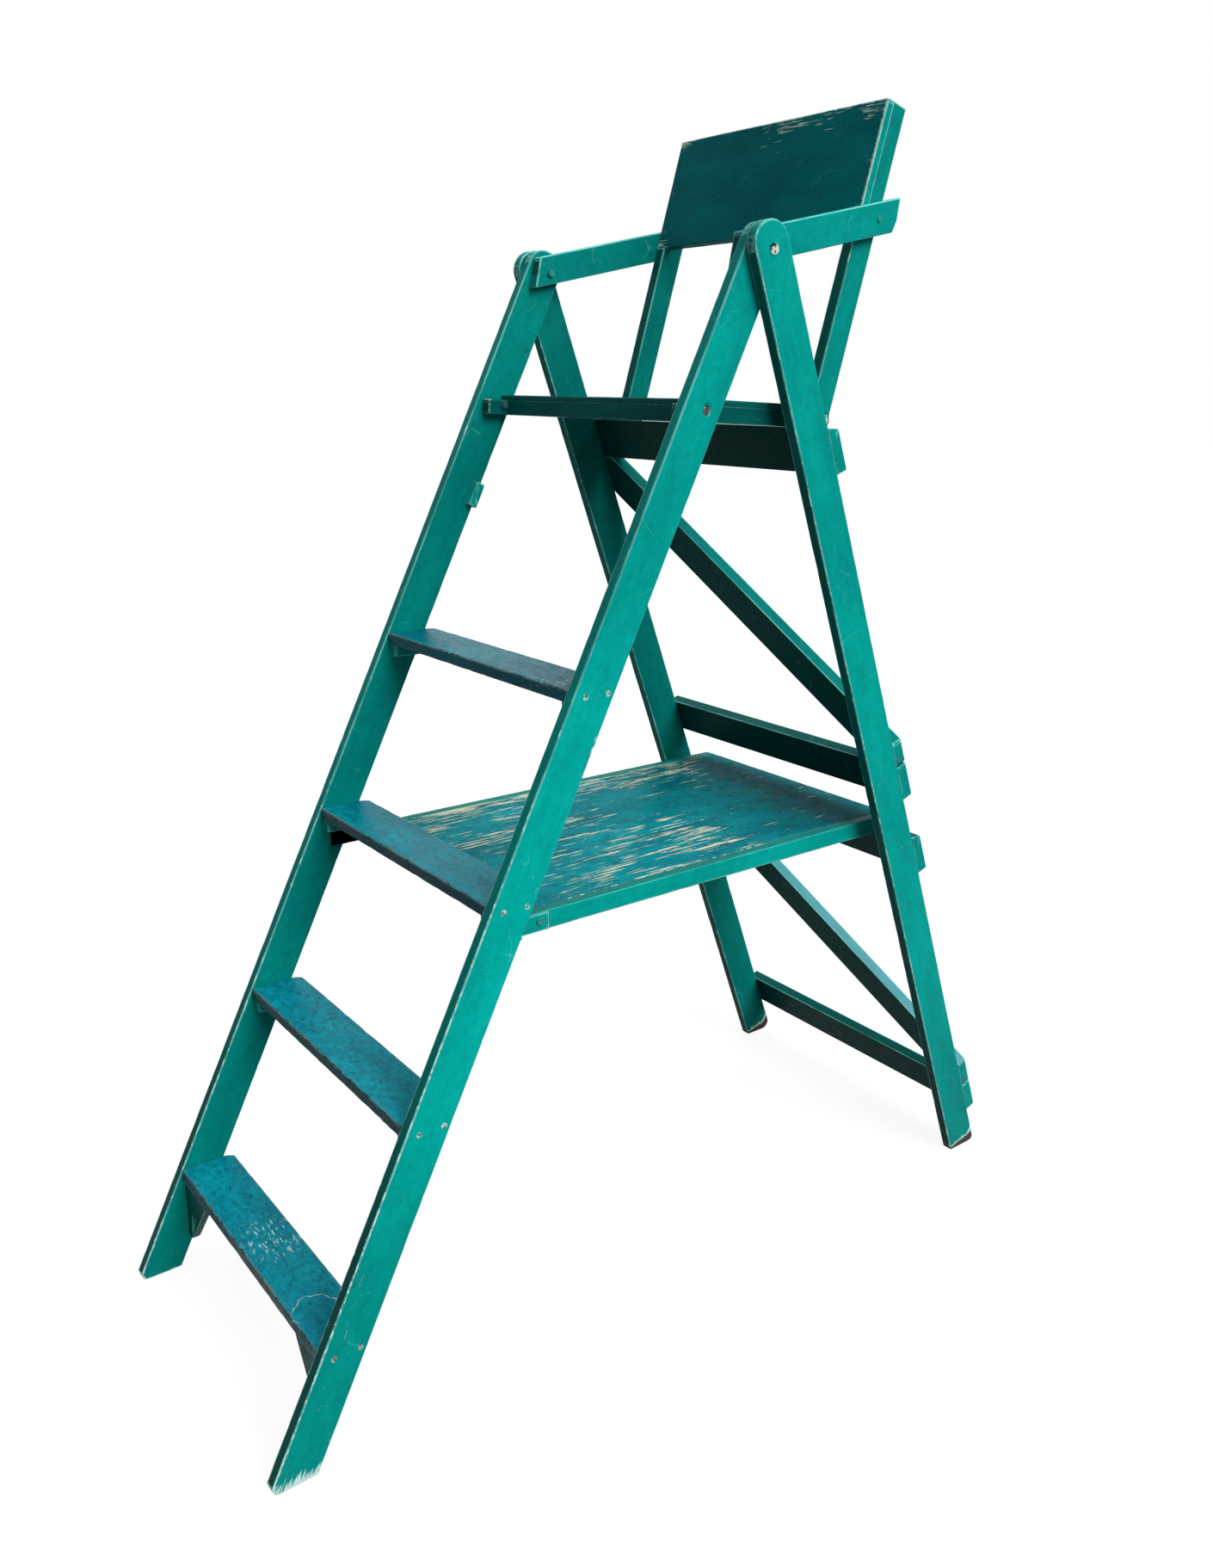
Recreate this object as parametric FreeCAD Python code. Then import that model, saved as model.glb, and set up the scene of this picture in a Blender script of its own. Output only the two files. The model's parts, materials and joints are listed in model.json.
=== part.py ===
"""Folding umpire chair of painted timber, one STEP file for each sub-part.

Millimetres. X runs across the chair, the climbing side faces -Y and Z is up.
Shapes are drawn about the folding axis at y = 0, then moved as one so that the
origin lies under the middle of the whole chair, on the floor.
"""
import FreeCAD
import Part
import math
import os

V = FreeCAD.Vector

# Timber sections
timber_width = 63.0
timber_thick = 18.0
rail_thick = 20.0
ease_radius = 1.5

# Main triangle, measured at the folding axis
axis_height = 1575.0
front_run = 764.3
rear_run = 590.8
stile_outer = 270.0
washer_gap = 2.0
side_gap = 1.0
top_beyond_axis = 7.0
front_foot_chamfer = 11.0
rear_foot_front_round = 5.0
rear_foot_rear_round = {"left": 8.0, "right": 15.0}

# Treads and the cleats under them
tread_heights = [1009.0, 735.0, 455.0, 174.0]
tread_depth = 84.0
tread_thick = 18.0
cleat_thick = 18.0
cleat_drop = 20.0
cleat_depth = 60.0
cleat_setback = 3.0
gusset_reach = {"left": 71.0, "right": 97.0}
gusset_tip = {"left": 5.0, "right": 18.0}
gusset_drop = 100.0
gusset_thick = 13.0
gusset_setback = 1.0
tread_screw_front = 17.0
tread_screw_spacing = 37.5
tread_screw_drop = 8.0
tread_screw_grip = 27.0

# Bump blocks inside the stiles, at their rear edges
block_start = 358.0
block_length = 41.0
block_width = 15.5
block_thick = 12.0
block_reach = 1.5

# Seat
seat_below_axis = 208.0
seat_pivot_setback = 7.14
seat_slope = 2.4
seat_rail_height = 24.0
seat_rail_thick = 20.0
seat_pivot_above_rail = 15.6
seat_rail_front = 29.0
seat_board_thick = 7.5
seat_board_start = 7.0
seat_board_end = 229.0
seat_front_rail_thick = 18.0
seat_batten_start = 190.0
seat_batten_width = 18.0
seat_batten_height = 16.0
seat_nail_inset = 16.0
seat_nail_grip = 15.0

# Arms and back
arm_slope = 12.4
arm_height = 45.0
arm_thick = 20.0
arm_centre_above_axis = 5.6
arm_front = 34.0
arm_front_cut = 20.0
arm_rear = 278.0
arm_rear_cut = 12.0
arm_cut_corner = 0.35
back_lean = 16.5
back_bolt_along_arm = 252.0
post_width = 40.0
post_thick = 20.0
post_bolt_ahead = 10.0
board_thick = 14.0
board_length = 182.0
board_below_bolt = 13.0
board_screw_bottom = 26.0
board_screw_top = 16.0
board_screw_grip = 16.0

# Foot platform
platform_pivot_drop = 11.0
platform_pivot_setback = 74.14
platform_side_height = 28.0
platform_side_thick = 18.0
platform_clearance = 1.0
platform_front = 15.0
platform_rest = 6.0
deck_thick = 13.0
deck_boards = 3
deck_gap = 0.6
batten_height = 13.0
batten_width = 45.0
front_batten_inset = 45.0
rear_batten_inset = 75.0
deck_nail_inset = 18.0
deck_nail_grip = 9.0
bearer_thick = 14.0
bearer_height = 26.0
bearer_front = 86.0
bearer_shoulder = 36.0
bearer_rear = 15.0
bearer_tongue = 4.0

# Cross rails and braces of the rear frame
top_rail_below_pivot = 91.0
upper_rail_above_platform = 44.3
lower_rail_drop = 69.3
bottom_rail_bottom = 73.0
upper_brace_inset = 36.0
upper_brace_end_inset = 44.0
lower_brace_inset = 33.0
lower_brace_end_inset = 34.0
rail_screw_low = 15.0
rail_screw_high = 45.0
brace_screw_high = 20.0
brace_screw_low = 16.0
frame_screw_grip = 28.0

# Bolts, screws and nails
bolt_radius = 4.0
small_bolt_radius = 3.0
head_radius = 7.8
head_height = 3.4
sunk_head_radius = 6.4
counterbore_depth = 5.0
counterbore_radius = 7.0
nut_width = 11.0
small_nut_width = 9.0
nut_height = 4.5
washer_radius = 11.0
running_clearance = 0.05
loose_pivot_clearance = 1.8
loose_head_radius = 8.0
loose_head_height = 2.5
small_head_radius = 5.0
small_head_height = 2.0
platform_head_height = 3.0
platform_bolt_cover = 3.0
bolt_beyond_nut = 1.0
screw_head_radius = 4.0
screw_shank_radius = 2.2
screw_slot_width = 0.9
screw_slot_depth = 0.9
nail_head_radius = 2.4
nail_shank_radius = 1.3

# Angles and planes that follow
stile_angle = -math.atan2(front_run, axis_height)
leg_angle = math.atan2(rear_run, axis_height)
half_width = timber_width / 2.0
stile_inner = stile_outer - timber_thick
leg_inner = stile_outer + washer_gap
leg_outer = leg_inner + timber_thick
arm_outer = stile_inner - side_gap
arm_inner = arm_outer - arm_thick
post_outer = arm_inner - side_gap
post_inner = post_outer - post_thick
seat_outer = stile_inner - side_gap
seat_inner = seat_outer - seat_rail_thick
axis = (0.0, axis_height)
platform_half_width = stile_inner - bearer_thick - platform_clearance
platform_top = tread_heights[1] - tread_thick - cleat_drop
platform_low = platform_top - platform_side_height
upper_rail_bottom = platform_top + upper_rail_above_platform
lower_rail_bottom = platform_low - lower_rail_drop


def leaning(start, angle, down, rear):
    """Point `down` along a timber that leans by `angle`, and `rear` behind its middle."""
    y = start[0] + down * math.sin(angle) + rear * math.cos(angle)
    z = start[1] - down * math.cos(angle) + rear * math.sin(angle)
    return (y, z)


def down_to_height(start, angle, height, rear):
    """Distance down a leaning timber at which the line `rear` behind its middle has that height."""
    return (start[1] - height + rear * math.sin(angle)) / math.cos(angle)


def at_height(start, angle, height, rear):
    """Point of given height on the line `rear` behind the middle of a leaning timber."""
    return leaning(start, angle, down_to_height(start, angle, height, rear), rear)


def sloping(start, slope, along, above):
    """Point `along` a bar that runs rearwards with `slope` degrees, and `above` its line."""
    turn = math.radians(slope)
    y = start[0] + along * math.cos(turn) - above * math.sin(turn)
    z = start[1] + along * math.sin(turn) + above * math.cos(turn)
    return (y, z)


seat_pivot = at_height(axis, stile_angle, axis_height - seat_below_axis, seat_pivot_setback)
top_rail_bottom = seat_pivot[1] - top_rail_below_pivot
platform_pivot = at_height(axis, stile_angle, platform_top - platform_pivot_drop, platform_pivot_setback)


def slab(points, x_low, x_high):
    """Board whose side outline is given as (y, z) corners, from x_low to x_high."""
    corners = [V(x_low, y, z) for y, z in points]
    face = Part.Face(Part.makePolygon(corners + corners[:1]))
    return face.extrude(V(x_high - x_low, 0, 0))


def rod(radius, x_low, x_high, centre):
    """Cylinder along X about a (y, z) centre."""
    return Part.makeCylinder(radius, x_high - x_low, V(x_low, centre[0], centre[1]), V(1, 0, 0))


def surface_normal(face, point):
    """Outward normal of a face at a point on it."""
    u, v = face.Surface.parameter(point)
    return face.normalAt(u, v)


def eased(shape, radius=None):
    """The shape with all its sharp arrises rounded."""
    sharp = []
    for edge in shape.Edges:
        middle = edge.valueAt((edge.FirstParameter + edge.LastParameter) / 2.0)
        faces = shape.ancestorsOfType(edge, Part.Face)
        if len(faces) < 2:
            continue
        turn = surface_normal(faces[0], middle).getAngle(surface_normal(faces[1], middle))
        if turn > math.radians(15):
            sharp.append(edge)
    return shape.makeFillet(radius or ease_radius, sharp)


def mirrored(shape):
    """The same piece on the other side of the chair."""
    return shape.mirror(V(0, 0, 0), V(1, 0, 0))


def both_sides(shapes):
    """A list of pieces followed by their mirror images."""
    return list(shapes) + [mirrored(shape) for shape in shapes]


def cut_all(shape, tools):
    """The shape with every tool taken away."""
    return shape.cut(Part.makeCompound(list(tools))) if tools else shape


def placed(shape, position, direction):
    """A piece drawn along +Z from the origin, laid along a direction at a position."""
    copy = shape.copy()
    copy.Placement = FreeCAD.Placement(V(*position), FreeCAD.Rotation(V(0, 0, 1), V(*direction)))
    return copy


def screw(length):
    """Countersunk slotted wood screw along +Z, its flat head at the origin."""
    sink = screw_head_radius - screw_shank_radius
    body = Part.makeCone(screw_head_radius, screw_shank_radius, sink)
    body = body.fuse(Part.makeCylinder(screw_shank_radius, length - 5.0))
    tip = Part.makeCone(screw_shank_radius, 0.4, 5.0, V(0, 0, length - 5.0))
    body = body.fuse(tip)
    slot = Part.makeBox(2 * screw_head_radius + 1, screw_slot_width, screw_slot_depth)
    slot.translate(V(-screw_head_radius - 0.5, -screw_slot_width / 2, 0))
    return body.cut(slot).removeSplitter()


def screw_hole(length):
    """The room that a wood screw takes up in the timber."""
    sink = screw_head_radius - screw_shank_radius
    hole = Part.makeCylinder(screw_shank_radius + running_clearance, length + 1.0)
    head = Part.makeCone(screw_head_radius, screw_shank_radius, sink)
    cap = Part.makeCylinder(screw_head_radius, 4.0, V(0, 0, -4.0))
    return hole.fuse(head).fuse(cap)


def nail(length):
    """Flat-headed nail along +Z, its head flush at the origin."""
    head = Part.makeCylinder(nail_head_radius, 0.9)
    return head.fuse(Part.makeCylinder(nail_shank_radius, length)).removeSplitter()


def nail_hole(length):
    """The room that a nail takes up in the timber."""
    head = Part.makeCylinder(nail_head_radius, 4.9, V(0, 0, -4.0))
    shank = Part.makeCylinder(nail_shank_radius + running_clearance, length + 0.5)
    return head.fuse(shank)


def domed_head(radius, height, x_seat, centre):
    """Domed bolt head that stands out from x_seat towards +X."""
    head = rod(radius, x_seat, x_seat + height, centre)
    rim = [edge for edge in head.Edges if edge.Closed and edge.CenterOfMass.x > x_seat + height - 0.01]
    return head.makeFillet(height * 0.8, rim)


def bolt(shank, head, height, x_tip, x_seat, centre):
    """Domed bolt whose head bears on x_seat and whose shank ends at x_tip."""
    return domed_head(head, height, x_seat, centre).fuse(rod(shank, x_tip, x_seat, centre)).removeSplitter()


def nut(width, shank, x_low, x_high, centre):
    """Hexagon nut from x_low to x_high, threaded on a bolt of that shank radius."""
    corner = width / math.sqrt(3)
    points = []
    for step in range(6):
        turn = math.radians(60 * step)
        points.append((centre[0] + corner * math.cos(turn), centre[1] + corner * math.sin(turn)))
    return slab(points, x_low, x_high).cut(rod(shank, x_low - 1, x_high + 1, centre))


nodes = {}

# Front ladder: the stiles with round heads and level feet
top = -top_beyond_axis
foot_front = at_height(axis, stile_angle, front_foot_chamfer, -half_width)
foot_rear = at_height(axis, stile_angle, 0.0, half_width)
foot_front_floor = (at_height(axis, stile_angle, 0.0, -half_width)[0] + front_foot_chamfer, 0.0)
stile_points = [
    leaning(axis, stile_angle, top, -half_width),
    foot_front,
    foot_front_floor,
    foot_rear,
    leaning(axis, stile_angle, top, half_width),
]
stile_blank = slab(stile_points, stile_inner, stile_outer)
stile_blank = stile_blank.fuse(rod(half_width, stile_inner, stile_outer, leaning(axis, stile_angle, top, 0)))
stile_blank = eased(stile_blank.removeSplitter())

# Screws through the stiles into the tread ends
tread_fronts = [at_height(axis, stile_angle, height, -half_width)[0] for height in tread_heights]
tread_screw_length = timber_thick + tread_screw_grip
tread_screws = []
tread_screw_holes = []
for height, front in zip(tread_heights, tread_fronts):
    for step in (0, 1):
        behind = tread_screw_front + step * tread_screw_spacing
        spot = (stile_outer, front + behind, height - tread_screw_drop)
        tread_screws.append(placed(screw(tread_screw_length), spot, (-1, 0, 0)))
        tread_screw_holes.append(placed(screw_hole(tread_screw_length), spot, (-1, 0, 0)))

pivot_hole = bolt_radius + running_clearance
stile_cuts = tread_screw_holes + [
    rod(pivot_hole, stile_inner - 1, stile_outer + 1, axis),
    rod(pivot_hole, stile_inner - 1, stile_outer + 1, seat_pivot),
    rod(counterbore_radius, stile_outer - counterbore_depth, stile_outer + 1, seat_pivot),
]
stile = cut_all(stile_blank, stile_cuts)
nodes["front_stile_left"] = stile
nodes["front_stile_right"] = mirrored(stile)

# Treads and their cleats
tread_names = ["top", "upper", "lower", "bottom"]
for name, height, front in zip(tread_names, tread_heights, tread_fronts):
    low = height - tread_thick
    rear = front + tread_depth
    board = slab([(front, low), (rear, low), (rear, height), (front, height)], -stile_inner, stile_inner)
    nodes["tread_" + name] = cut_all(eased(board, ease_radius * 1.4), both_sides(tread_screw_holes))
    if name == "bottom":
        continue
    points = [
        (front + cleat_setback, low),
        (front + cleat_depth, low),
        (front + cleat_depth - cleat_drop * math.tan(-stile_angle), low - cleat_drop),
        (front + cleat_setback, low - cleat_drop),
    ]
    cleat = eased(slab(points, stile_inner - cleat_thick, stile_inner), ease_radius * 0.6)
    nodes["cleat_" + name + "_left"] = cleat
    nodes["cleat_" + name + "_right"] = mirrored(cleat)

# Hand-cut gussets upright in the corners under the bottom tread
gusset_top = tread_heights[3] - tread_thick
gusset_front = tread_fronts[3] + gusset_setback
for side, sign in (("left", 1), ("right", -1)):
    corners = [
        V(sign * stile_inner, gusset_front, gusset_top),
        V(sign * (stile_inner - gusset_reach[side]), gusset_front, gusset_top),
        V(sign * (stile_inner - gusset_tip[side]), gusset_front, gusset_top - gusset_drop),
        V(sign * stile_inner, gusset_front, gusset_top - gusset_drop),
    ]
    face = Part.Face(Part.makePolygon(corners + corners[:1]))
    nodes["cleat_bottom_" + side] = eased(face.extrude(V(0, gusset_thick, 0)), ease_radius * 0.6)
nodes["tread_screws"] = Part.makeCompound(both_sides(tread_screws))

# Bump blocks where the closed rear frame meets the stiles
block_points = []
for down, rear in ((0, -1), (0, 0), (1, 0), (1, -1)):
    reach = half_width + block_reach + rear * block_width
    block_points.append(leaning(axis, stile_angle, block_start + down * block_length, reach))
block = eased(slab(block_points, stile_inner - block_thick, stile_inner), ease_radius)
nodes["bump_block_left"] = block
nodes["bump_block_right"] = mirrored(block)

# Seat: side rails that turn on the stiles, board, front rail and rear batten
rail_low = -seat_pivot_above_rail
rail_high = rail_low + seat_rail_height


def seat_box(start, end, low, high, x_low, x_high):
    """Board in the seat, by distances behind the seat pivot and above the pivot line."""
    points = [
        sloping(seat_pivot, -seat_slope, start, low),
        sloping(seat_pivot, -seat_slope, end, low),
        sloping(seat_pivot, -seat_slope, end, high),
        sloping(seat_pivot, -seat_slope, start, high),
    ]
    return slab(points, x_low, x_high)


# Back posts lean on the arms' rear bolts and reach down to the seat rails
arm_base = (axis[0], axis[1] + arm_centre_above_axis)
back_bolt = sloping(arm_base, arm_slope, back_bolt_along_arm, 0.0)
post_angle = -math.radians(back_lean)
rail_middle = rail_low + seat_rail_height / 2.0
rail_line = sloping(seat_pivot, -seat_slope, 0.0, rail_middle)
slope = math.radians(-seat_slope)
bolt_line = leaning(back_bolt, post_angle, 0.0, -post_bolt_ahead)
gap_y = bolt_line[0] - rail_line[0]
gap_z = bolt_line[1] - rail_line[1]
turn_sum = math.sin(post_angle) * math.sin(slope) + math.cos(post_angle) * math.cos(slope)
post_reach = (gap_z * math.cos(slope) - gap_y * math.sin(slope)) / turn_sum
seat_bolt_spot = leaning(back_bolt, post_angle, post_reach, -post_bolt_ahead)
post_foot = leaning(back_bolt, post_angle, post_reach, 0.0)
rail_run = (seat_bolt_spot[0] - rail_line[0]) / math.cos(slope)

loose_hole = small_bolt_radius + loose_pivot_clearance
seat_rail = seat_box(-seat_rail_front, rail_run, rail_low, rail_high, seat_inner, seat_outer)
seat_rail = seat_rail.fuse(rod(seat_rail_height / 2.0, seat_inner, seat_outer, seat_bolt_spot))
seat_rail = eased(seat_rail.removeSplitter())
seat_rail = seat_rail.cut(rod(pivot_hole, seat_inner - 1, seat_outer + 1, seat_pivot))
seat_rail = seat_rail.cut(rod(loose_hole, seat_inner - 1, seat_outer + 1, seat_bolt_spot))

front_rail_end = seat_board_start + seat_front_rail_thick
front_rail = seat_box(seat_board_start, front_rail_end, rail_low, rail_high, -seat_inner, seat_inner)
nodes["seat_front_rail"] = eased(front_rail, ease_radius * 0.6)
batten_end = seat_batten_start + seat_batten_width
batten_bottom = rail_high - seat_batten_height
batten = seat_box(seat_batten_start, batten_end, batten_bottom, rail_high, -seat_inner, seat_inner)
nodes["seat_rear_batten"] = eased(batten, ease_radius * 0.6)

board_high = rail_high + seat_board_thick
seat_board = eased(seat_box(seat_board_start, seat_board_end, rail_high, board_high, -seat_outer, seat_outer))
seat_nail_length = seat_board_thick + seat_nail_grip
seat_down = (0, -math.sin(math.radians(seat_slope)), -math.cos(math.radians(seat_slope)))
seat_nails = []
seat_nail_holes = []
seat_nail_x = (seat_inner + seat_outer) / 2.0
seat_nail_run = seat_board_end - seat_board_start - 2 * seat_nail_inset
for step in range(4):
    along = seat_board_start + seat_nail_inset + step * seat_nail_run / 3.0
    y, z = sloping(seat_pivot, -seat_slope, along, board_high)
    seat_nails.append(placed(nail(seat_nail_length), (seat_nail_x, y, z), seat_down))
    seat_nail_holes.append(placed(nail_hole(seat_nail_length), (seat_nail_x, y, z), seat_down))
seat_rail = cut_all(seat_rail, seat_nail_holes)
nodes["seat_board"] = cut_all(seat_board, both_sides(seat_nail_holes))
nodes["seat_side_rail_left"] = seat_rail
nodes["seat_side_rail_right"] = mirrored(seat_rail)
nodes["seat_nails"] = Part.makeCompound(both_sides(seat_nails))

# Arms, square in front and cut back at the rear
arm_half = arm_height / 2.0
arm_points = [
    sloping(arm_base, arm_slope, -arm_front, -arm_half),
    sloping(arm_base, arm_slope, arm_rear, -arm_half),
    sloping(arm_base, arm_slope, arm_rear + arm_rear_cut, -arm_half * arm_cut_corner),
    sloping(arm_base, arm_slope, arm_rear + arm_rear_cut * 2.0, arm_half),
    sloping(arm_base, arm_slope, arm_front_cut - arm_front, arm_half),
]
arm = eased(slab(arm_points, arm_inner, arm_outer))
arm = arm.cut(rod(pivot_hole, arm_inner - 1, arm_outer + 1, axis))
small_hole = small_bolt_radius + running_clearance
arm = arm.cut(rod(small_hole, arm_inner - 1, arm_outer + 1, back_bolt))
nodes["arm_left"] = arm
nodes["arm_right"] = mirrored(arm)

# Back posts with a rebate in front for the board
post_half = post_width / 2.0
post_top = board_below_bolt - board_length
post_points = [
    leaning(back_bolt, post_angle, post_top, -post_half + board_thick),
    leaning(back_bolt, post_angle, board_below_bolt, -post_half + board_thick),
    leaning(back_bolt, post_angle, board_below_bolt, -post_half),
    leaning(back_bolt, post_angle, post_reach, -post_half),
    leaning(back_bolt, post_angle, post_reach, post_half),
    leaning(back_bolt, post_angle, post_top, post_half),
]
post = slab(post_points, post_inner, post_outer)
post = post.fuse(rod(post_half, post_inner, post_outer, post_foot)).removeSplitter()
post = eased(post, ease_radius * 0.8)
board_points = [
    leaning(back_bolt, post_angle, post_top, -post_half),
    leaning(back_bolt, post_angle, board_below_bolt, -post_half),
    leaning(back_bolt, post_angle, board_below_bolt, -post_half + board_thick),
    leaning(back_bolt, post_angle, post_top, -post_half + board_thick),
]
back_board = eased(slab(board_points, -post_outer, post_outer), ease_radius * 0.8)
back_screw_length = board_thick + board_screw_grip
back_in = (0, math.cos(post_angle), math.sin(post_angle))
back_screws = []
back_screw_holes = []
board_screw_downs = (
    board_below_bolt - board_screw_bottom,
    board_below_bolt - board_length / 2.0,
    post_top + board_screw_top,
)
for down in board_screw_downs:
    y, z = leaning(back_bolt, post_angle, down, -post_half)
    spot = ((post_inner + post_outer) / 2.0, y, z)
    back_screws.append(placed(screw(back_screw_length), spot, back_in))
    back_screw_holes.append(placed(screw_hole(back_screw_length), spot, back_in))
post = post.cut(rod(small_hole, post_inner - 1, post_outer + 1, back_bolt))
post = post.cut(rod(small_hole, post_inner - 1, post_outer + 1, seat_bolt_spot))
post = cut_all(post, back_screw_holes)
nodes["back_post_left"] = post
nodes["back_post_right"] = mirrored(post)
nodes["backrest_board"] = cut_all(back_board, both_sides(back_screw_holes))
nodes["backrest_screws"] = Part.makeCompound(both_sides(back_screws))

# Rear frame: legs with round heads and rounded feet
leg_points = [
    leaning(axis, leg_angle, top, -half_width),
    at_height(axis, leg_angle, 0.0, -half_width),
    at_height(axis, leg_angle, 0.0, half_width),
    leaning(axis, leg_angle, top, half_width),
]


def foot_edge(shape, pick):
    """The foremost or rearmost edge of a leg's foot, as picked by min or max."""
    low = []
    for edge in shape.Edges:
        across = abs(edge.BoundBox.XLength - timber_thick) < 0.01
        if across and edge.CenterOfMass.z < 1.0:
            low.append(edge)
    return pick(low, key=lambda edge: edge.CenterOfMass.y)


legs = {}
for side, rear_round in rear_foot_rear_round.items():
    leg = slab(leg_points, leg_inner, leg_outer)
    leg = leg.makeFillet(rear_foot_front_round, [foot_edge(leg, min)])
    leg = leg.makeFillet(rear_round, [foot_edge(leg, max)])
    leg = leg.fuse(rod(half_width, leg_inner, leg_outer, leaning(axis, leg_angle, top, 0)))
    leg = eased(leg.removeSplitter())
    legs[side] = leg.cut(rod(pivot_hole, leg_inner - 1, leg_outer + 1, axis))

# Rails across the rear edges of the legs; two carry the seat and the platform
rail_front = half_width
rail_back = half_width + rail_thick


def seat_underside(rear):
    """Point where the seat rails' underside crosses a line behind the legs."""
    low = sloping(seat_pivot, -seat_slope, 0.0, rail_low)
    down = math.tan(math.radians(seat_slope))
    base = leaning(axis, leg_angle, 0.0, rear)
    lean = math.tan(leg_angle)
    height = (low[1] - down * (base[0] + lean * base[1] - low[0])) / (1.0 - down * lean)
    return at_height(axis, leg_angle, height, rear)


def rear_rail(bottom, front_top, back_top):
    """Rail behind the legs from its lower front arris up to two given top arrises."""
    low = down_to_height(axis, leg_angle, bottom, rail_front)
    points = [
        leaning(axis, leg_angle, low, rail_front),
        leaning(axis, leg_angle, low, rail_back),
        back_top,
        front_top,
    ]
    return eased(slab(points, -leg_outer, leg_outer))


def square_rail(bottom):
    """Rear rail of full timber width, square on the legs."""
    high = down_to_height(axis, leg_angle, bottom, rail_front) - timber_width
    front_top = leaning(axis, leg_angle, high, rail_front)
    return rear_rail(bottom, front_top, leaning(axis, leg_angle, high, rail_back))


level_front = at_height(axis, leg_angle, platform_low, rail_front)
level_back = at_height(axis, leg_angle, platform_low, rail_back)
rear_rails = {
    "rear_rail_top": rear_rail(top_rail_bottom, seat_underside(rail_front), seat_underside(rail_back)),
    "rear_rail_upper": square_rail(upper_rail_bottom),
    "rear_rail_lower": rear_rail(lower_rail_bottom, level_front, level_back),
    "rear_rail_bottom": square_rail(bottom_rail_bottom),
}


def frame_point(x, down, rear):
    """Point of the rear frame by its place across, down the legs and behind their middle."""
    y, z = leaning(axis, leg_angle, down, rear)
    return V(x, y, z)


def brace(down_high, down_low, inset_high, inset_low):
    """Diagonal from the right leg at down_high to the left leg at down_low."""
    start = -leg_outer + inset_high
    end = leg_outer - inset_low
    across = end - start
    drop = down_low - down_high
    turn = math.atan2(drop, across) - math.asin(timber_width / math.hypot(across, drop))
    fall = math.tan(turn)
    shift = timber_width / math.sin(turn)
    corners = [
        (start, down_high),
        (leg_outer, down_high + (leg_outer - start) * fall),
        (leg_outer, down_low),
        (end, down_low),
        (-leg_outer, down_high + (shift - inset_high) * fall),
        (-leg_outer, down_high),
    ]
    points = [frame_point(x, down, rail_front) for x, down in corners]
    back = frame_point(0, 0, rail_back) - frame_point(0, 0, rail_front)
    return eased(Part.Face(Part.makePolygon(points + points[:1])).extrude(back))


down_top_rail = down_to_height(axis, leg_angle, top_rail_bottom, rail_front)
down_upper_rail = down_to_height(axis, leg_angle, upper_rail_bottom, rail_front) - timber_width
down_lower_rail = down_to_height(axis, leg_angle, lower_rail_bottom, rail_front)
down_bottom_rail = down_to_height(axis, leg_angle, bottom_rail_bottom, rail_front) - timber_width
braces = {
    "brace_upper": brace(down_top_rail, down_upper_rail, upper_brace_inset, upper_brace_end_inset),
    "brace_lower": brace(down_lower_rail, down_bottom_rail, lower_brace_inset, lower_brace_end_inset),
}

# Screws from behind through rails and braces into the legs
frame_screw_length = rail_thick + frame_screw_grip
frame_in = V(0, -math.cos(leg_angle), -math.sin(leg_angle))
leg_middle = (leg_inner + leg_outer) / 2.0
screw_spots = []
for bottom in (top_rail_bottom, upper_rail_bottom, lower_rail_bottom, bottom_rail_bottom):
    low = down_to_height(axis, leg_angle, bottom, rail_front)
    for x in (-leg_middle, leg_middle):
        screw_spots.append((x, low - rail_screw_low))
        screw_spots.append((x, low - rail_screw_high))
for high, low in ((down_top_rail, down_upper_rail), (down_lower_rail, down_bottom_rail)):
    screw_spots.append((-leg_middle, high + brace_screw_high))
    screw_spots.append((leg_middle, low - brace_screw_low))
frame_screws = []
frame_screw_holes = []
for x, down in screw_spots:
    spot = frame_point(x, down, rail_back)
    frame_screws.append(placed(screw(frame_screw_length), spot, frame_in))
    frame_screw_holes.append(placed(screw_hole(frame_screw_length), spot, frame_in))
nodes["rear_leg_left"] = cut_all(legs["left"], frame_screw_holes)
nodes["rear_leg_right"] = cut_all(mirrored(legs["right"]), frame_screw_holes)
for name, piece in list(rear_rails.items()) + list(braces.items()):
    nodes[name] = cut_all(piece, frame_screw_holes)
nodes["rear_frame_screws"] = Part.makeCompound(frame_screws)

# Platform: side rails, lengthwise deck boards and battens beneath them
platform_start = platform_pivot[0] - platform_front
platform_end = level_front[0] + platform_rest
side_inner = platform_half_width - platform_side_thick
side_points = [
    (platform_start, platform_low),
    (platform_end, platform_low),
    (platform_end, platform_top),
    (platform_start, platform_top),
]
platform_side = eased(slab(side_points, side_inner, platform_half_width))
blind_end = side_inner + platform_bolt_cover
platform_side = platform_side.cut(rod(pivot_hole, blind_end, platform_half_width + 1, platform_pivot))
nodes["platform_side_rail_left"] = platform_side
nodes["platform_side_rail_right"] = mirrored(platform_side)
deck_low = platform_top - deck_thick
batten_low = deck_low - batten_height
batten_starts = {
    "front": platform_start + front_batten_inset,
    "rear": platform_end - rear_batten_inset - batten_width,
}
platform_nails = []
platform_nail_holes = []
deck_width = 2 * side_inner / deck_boards
for start in batten_starts.values():
    for index in range(deck_boards):
        for side in (-1, 1):
            x = -side_inner + deck_width * (index + 0.5) + side * (deck_width / 2 - deck_nail_inset)
            spot = (x, start + batten_width / 2.0, platform_top)
            platform_nails.append(placed(nail(deck_thick + deck_nail_grip), spot, (0, 0, -1)))
            platform_nail_holes.append(placed(nail_hole(deck_thick + deck_nail_grip), spot, (0, 0, -1)))
deck_names = ["right", "middle", "left"]
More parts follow.
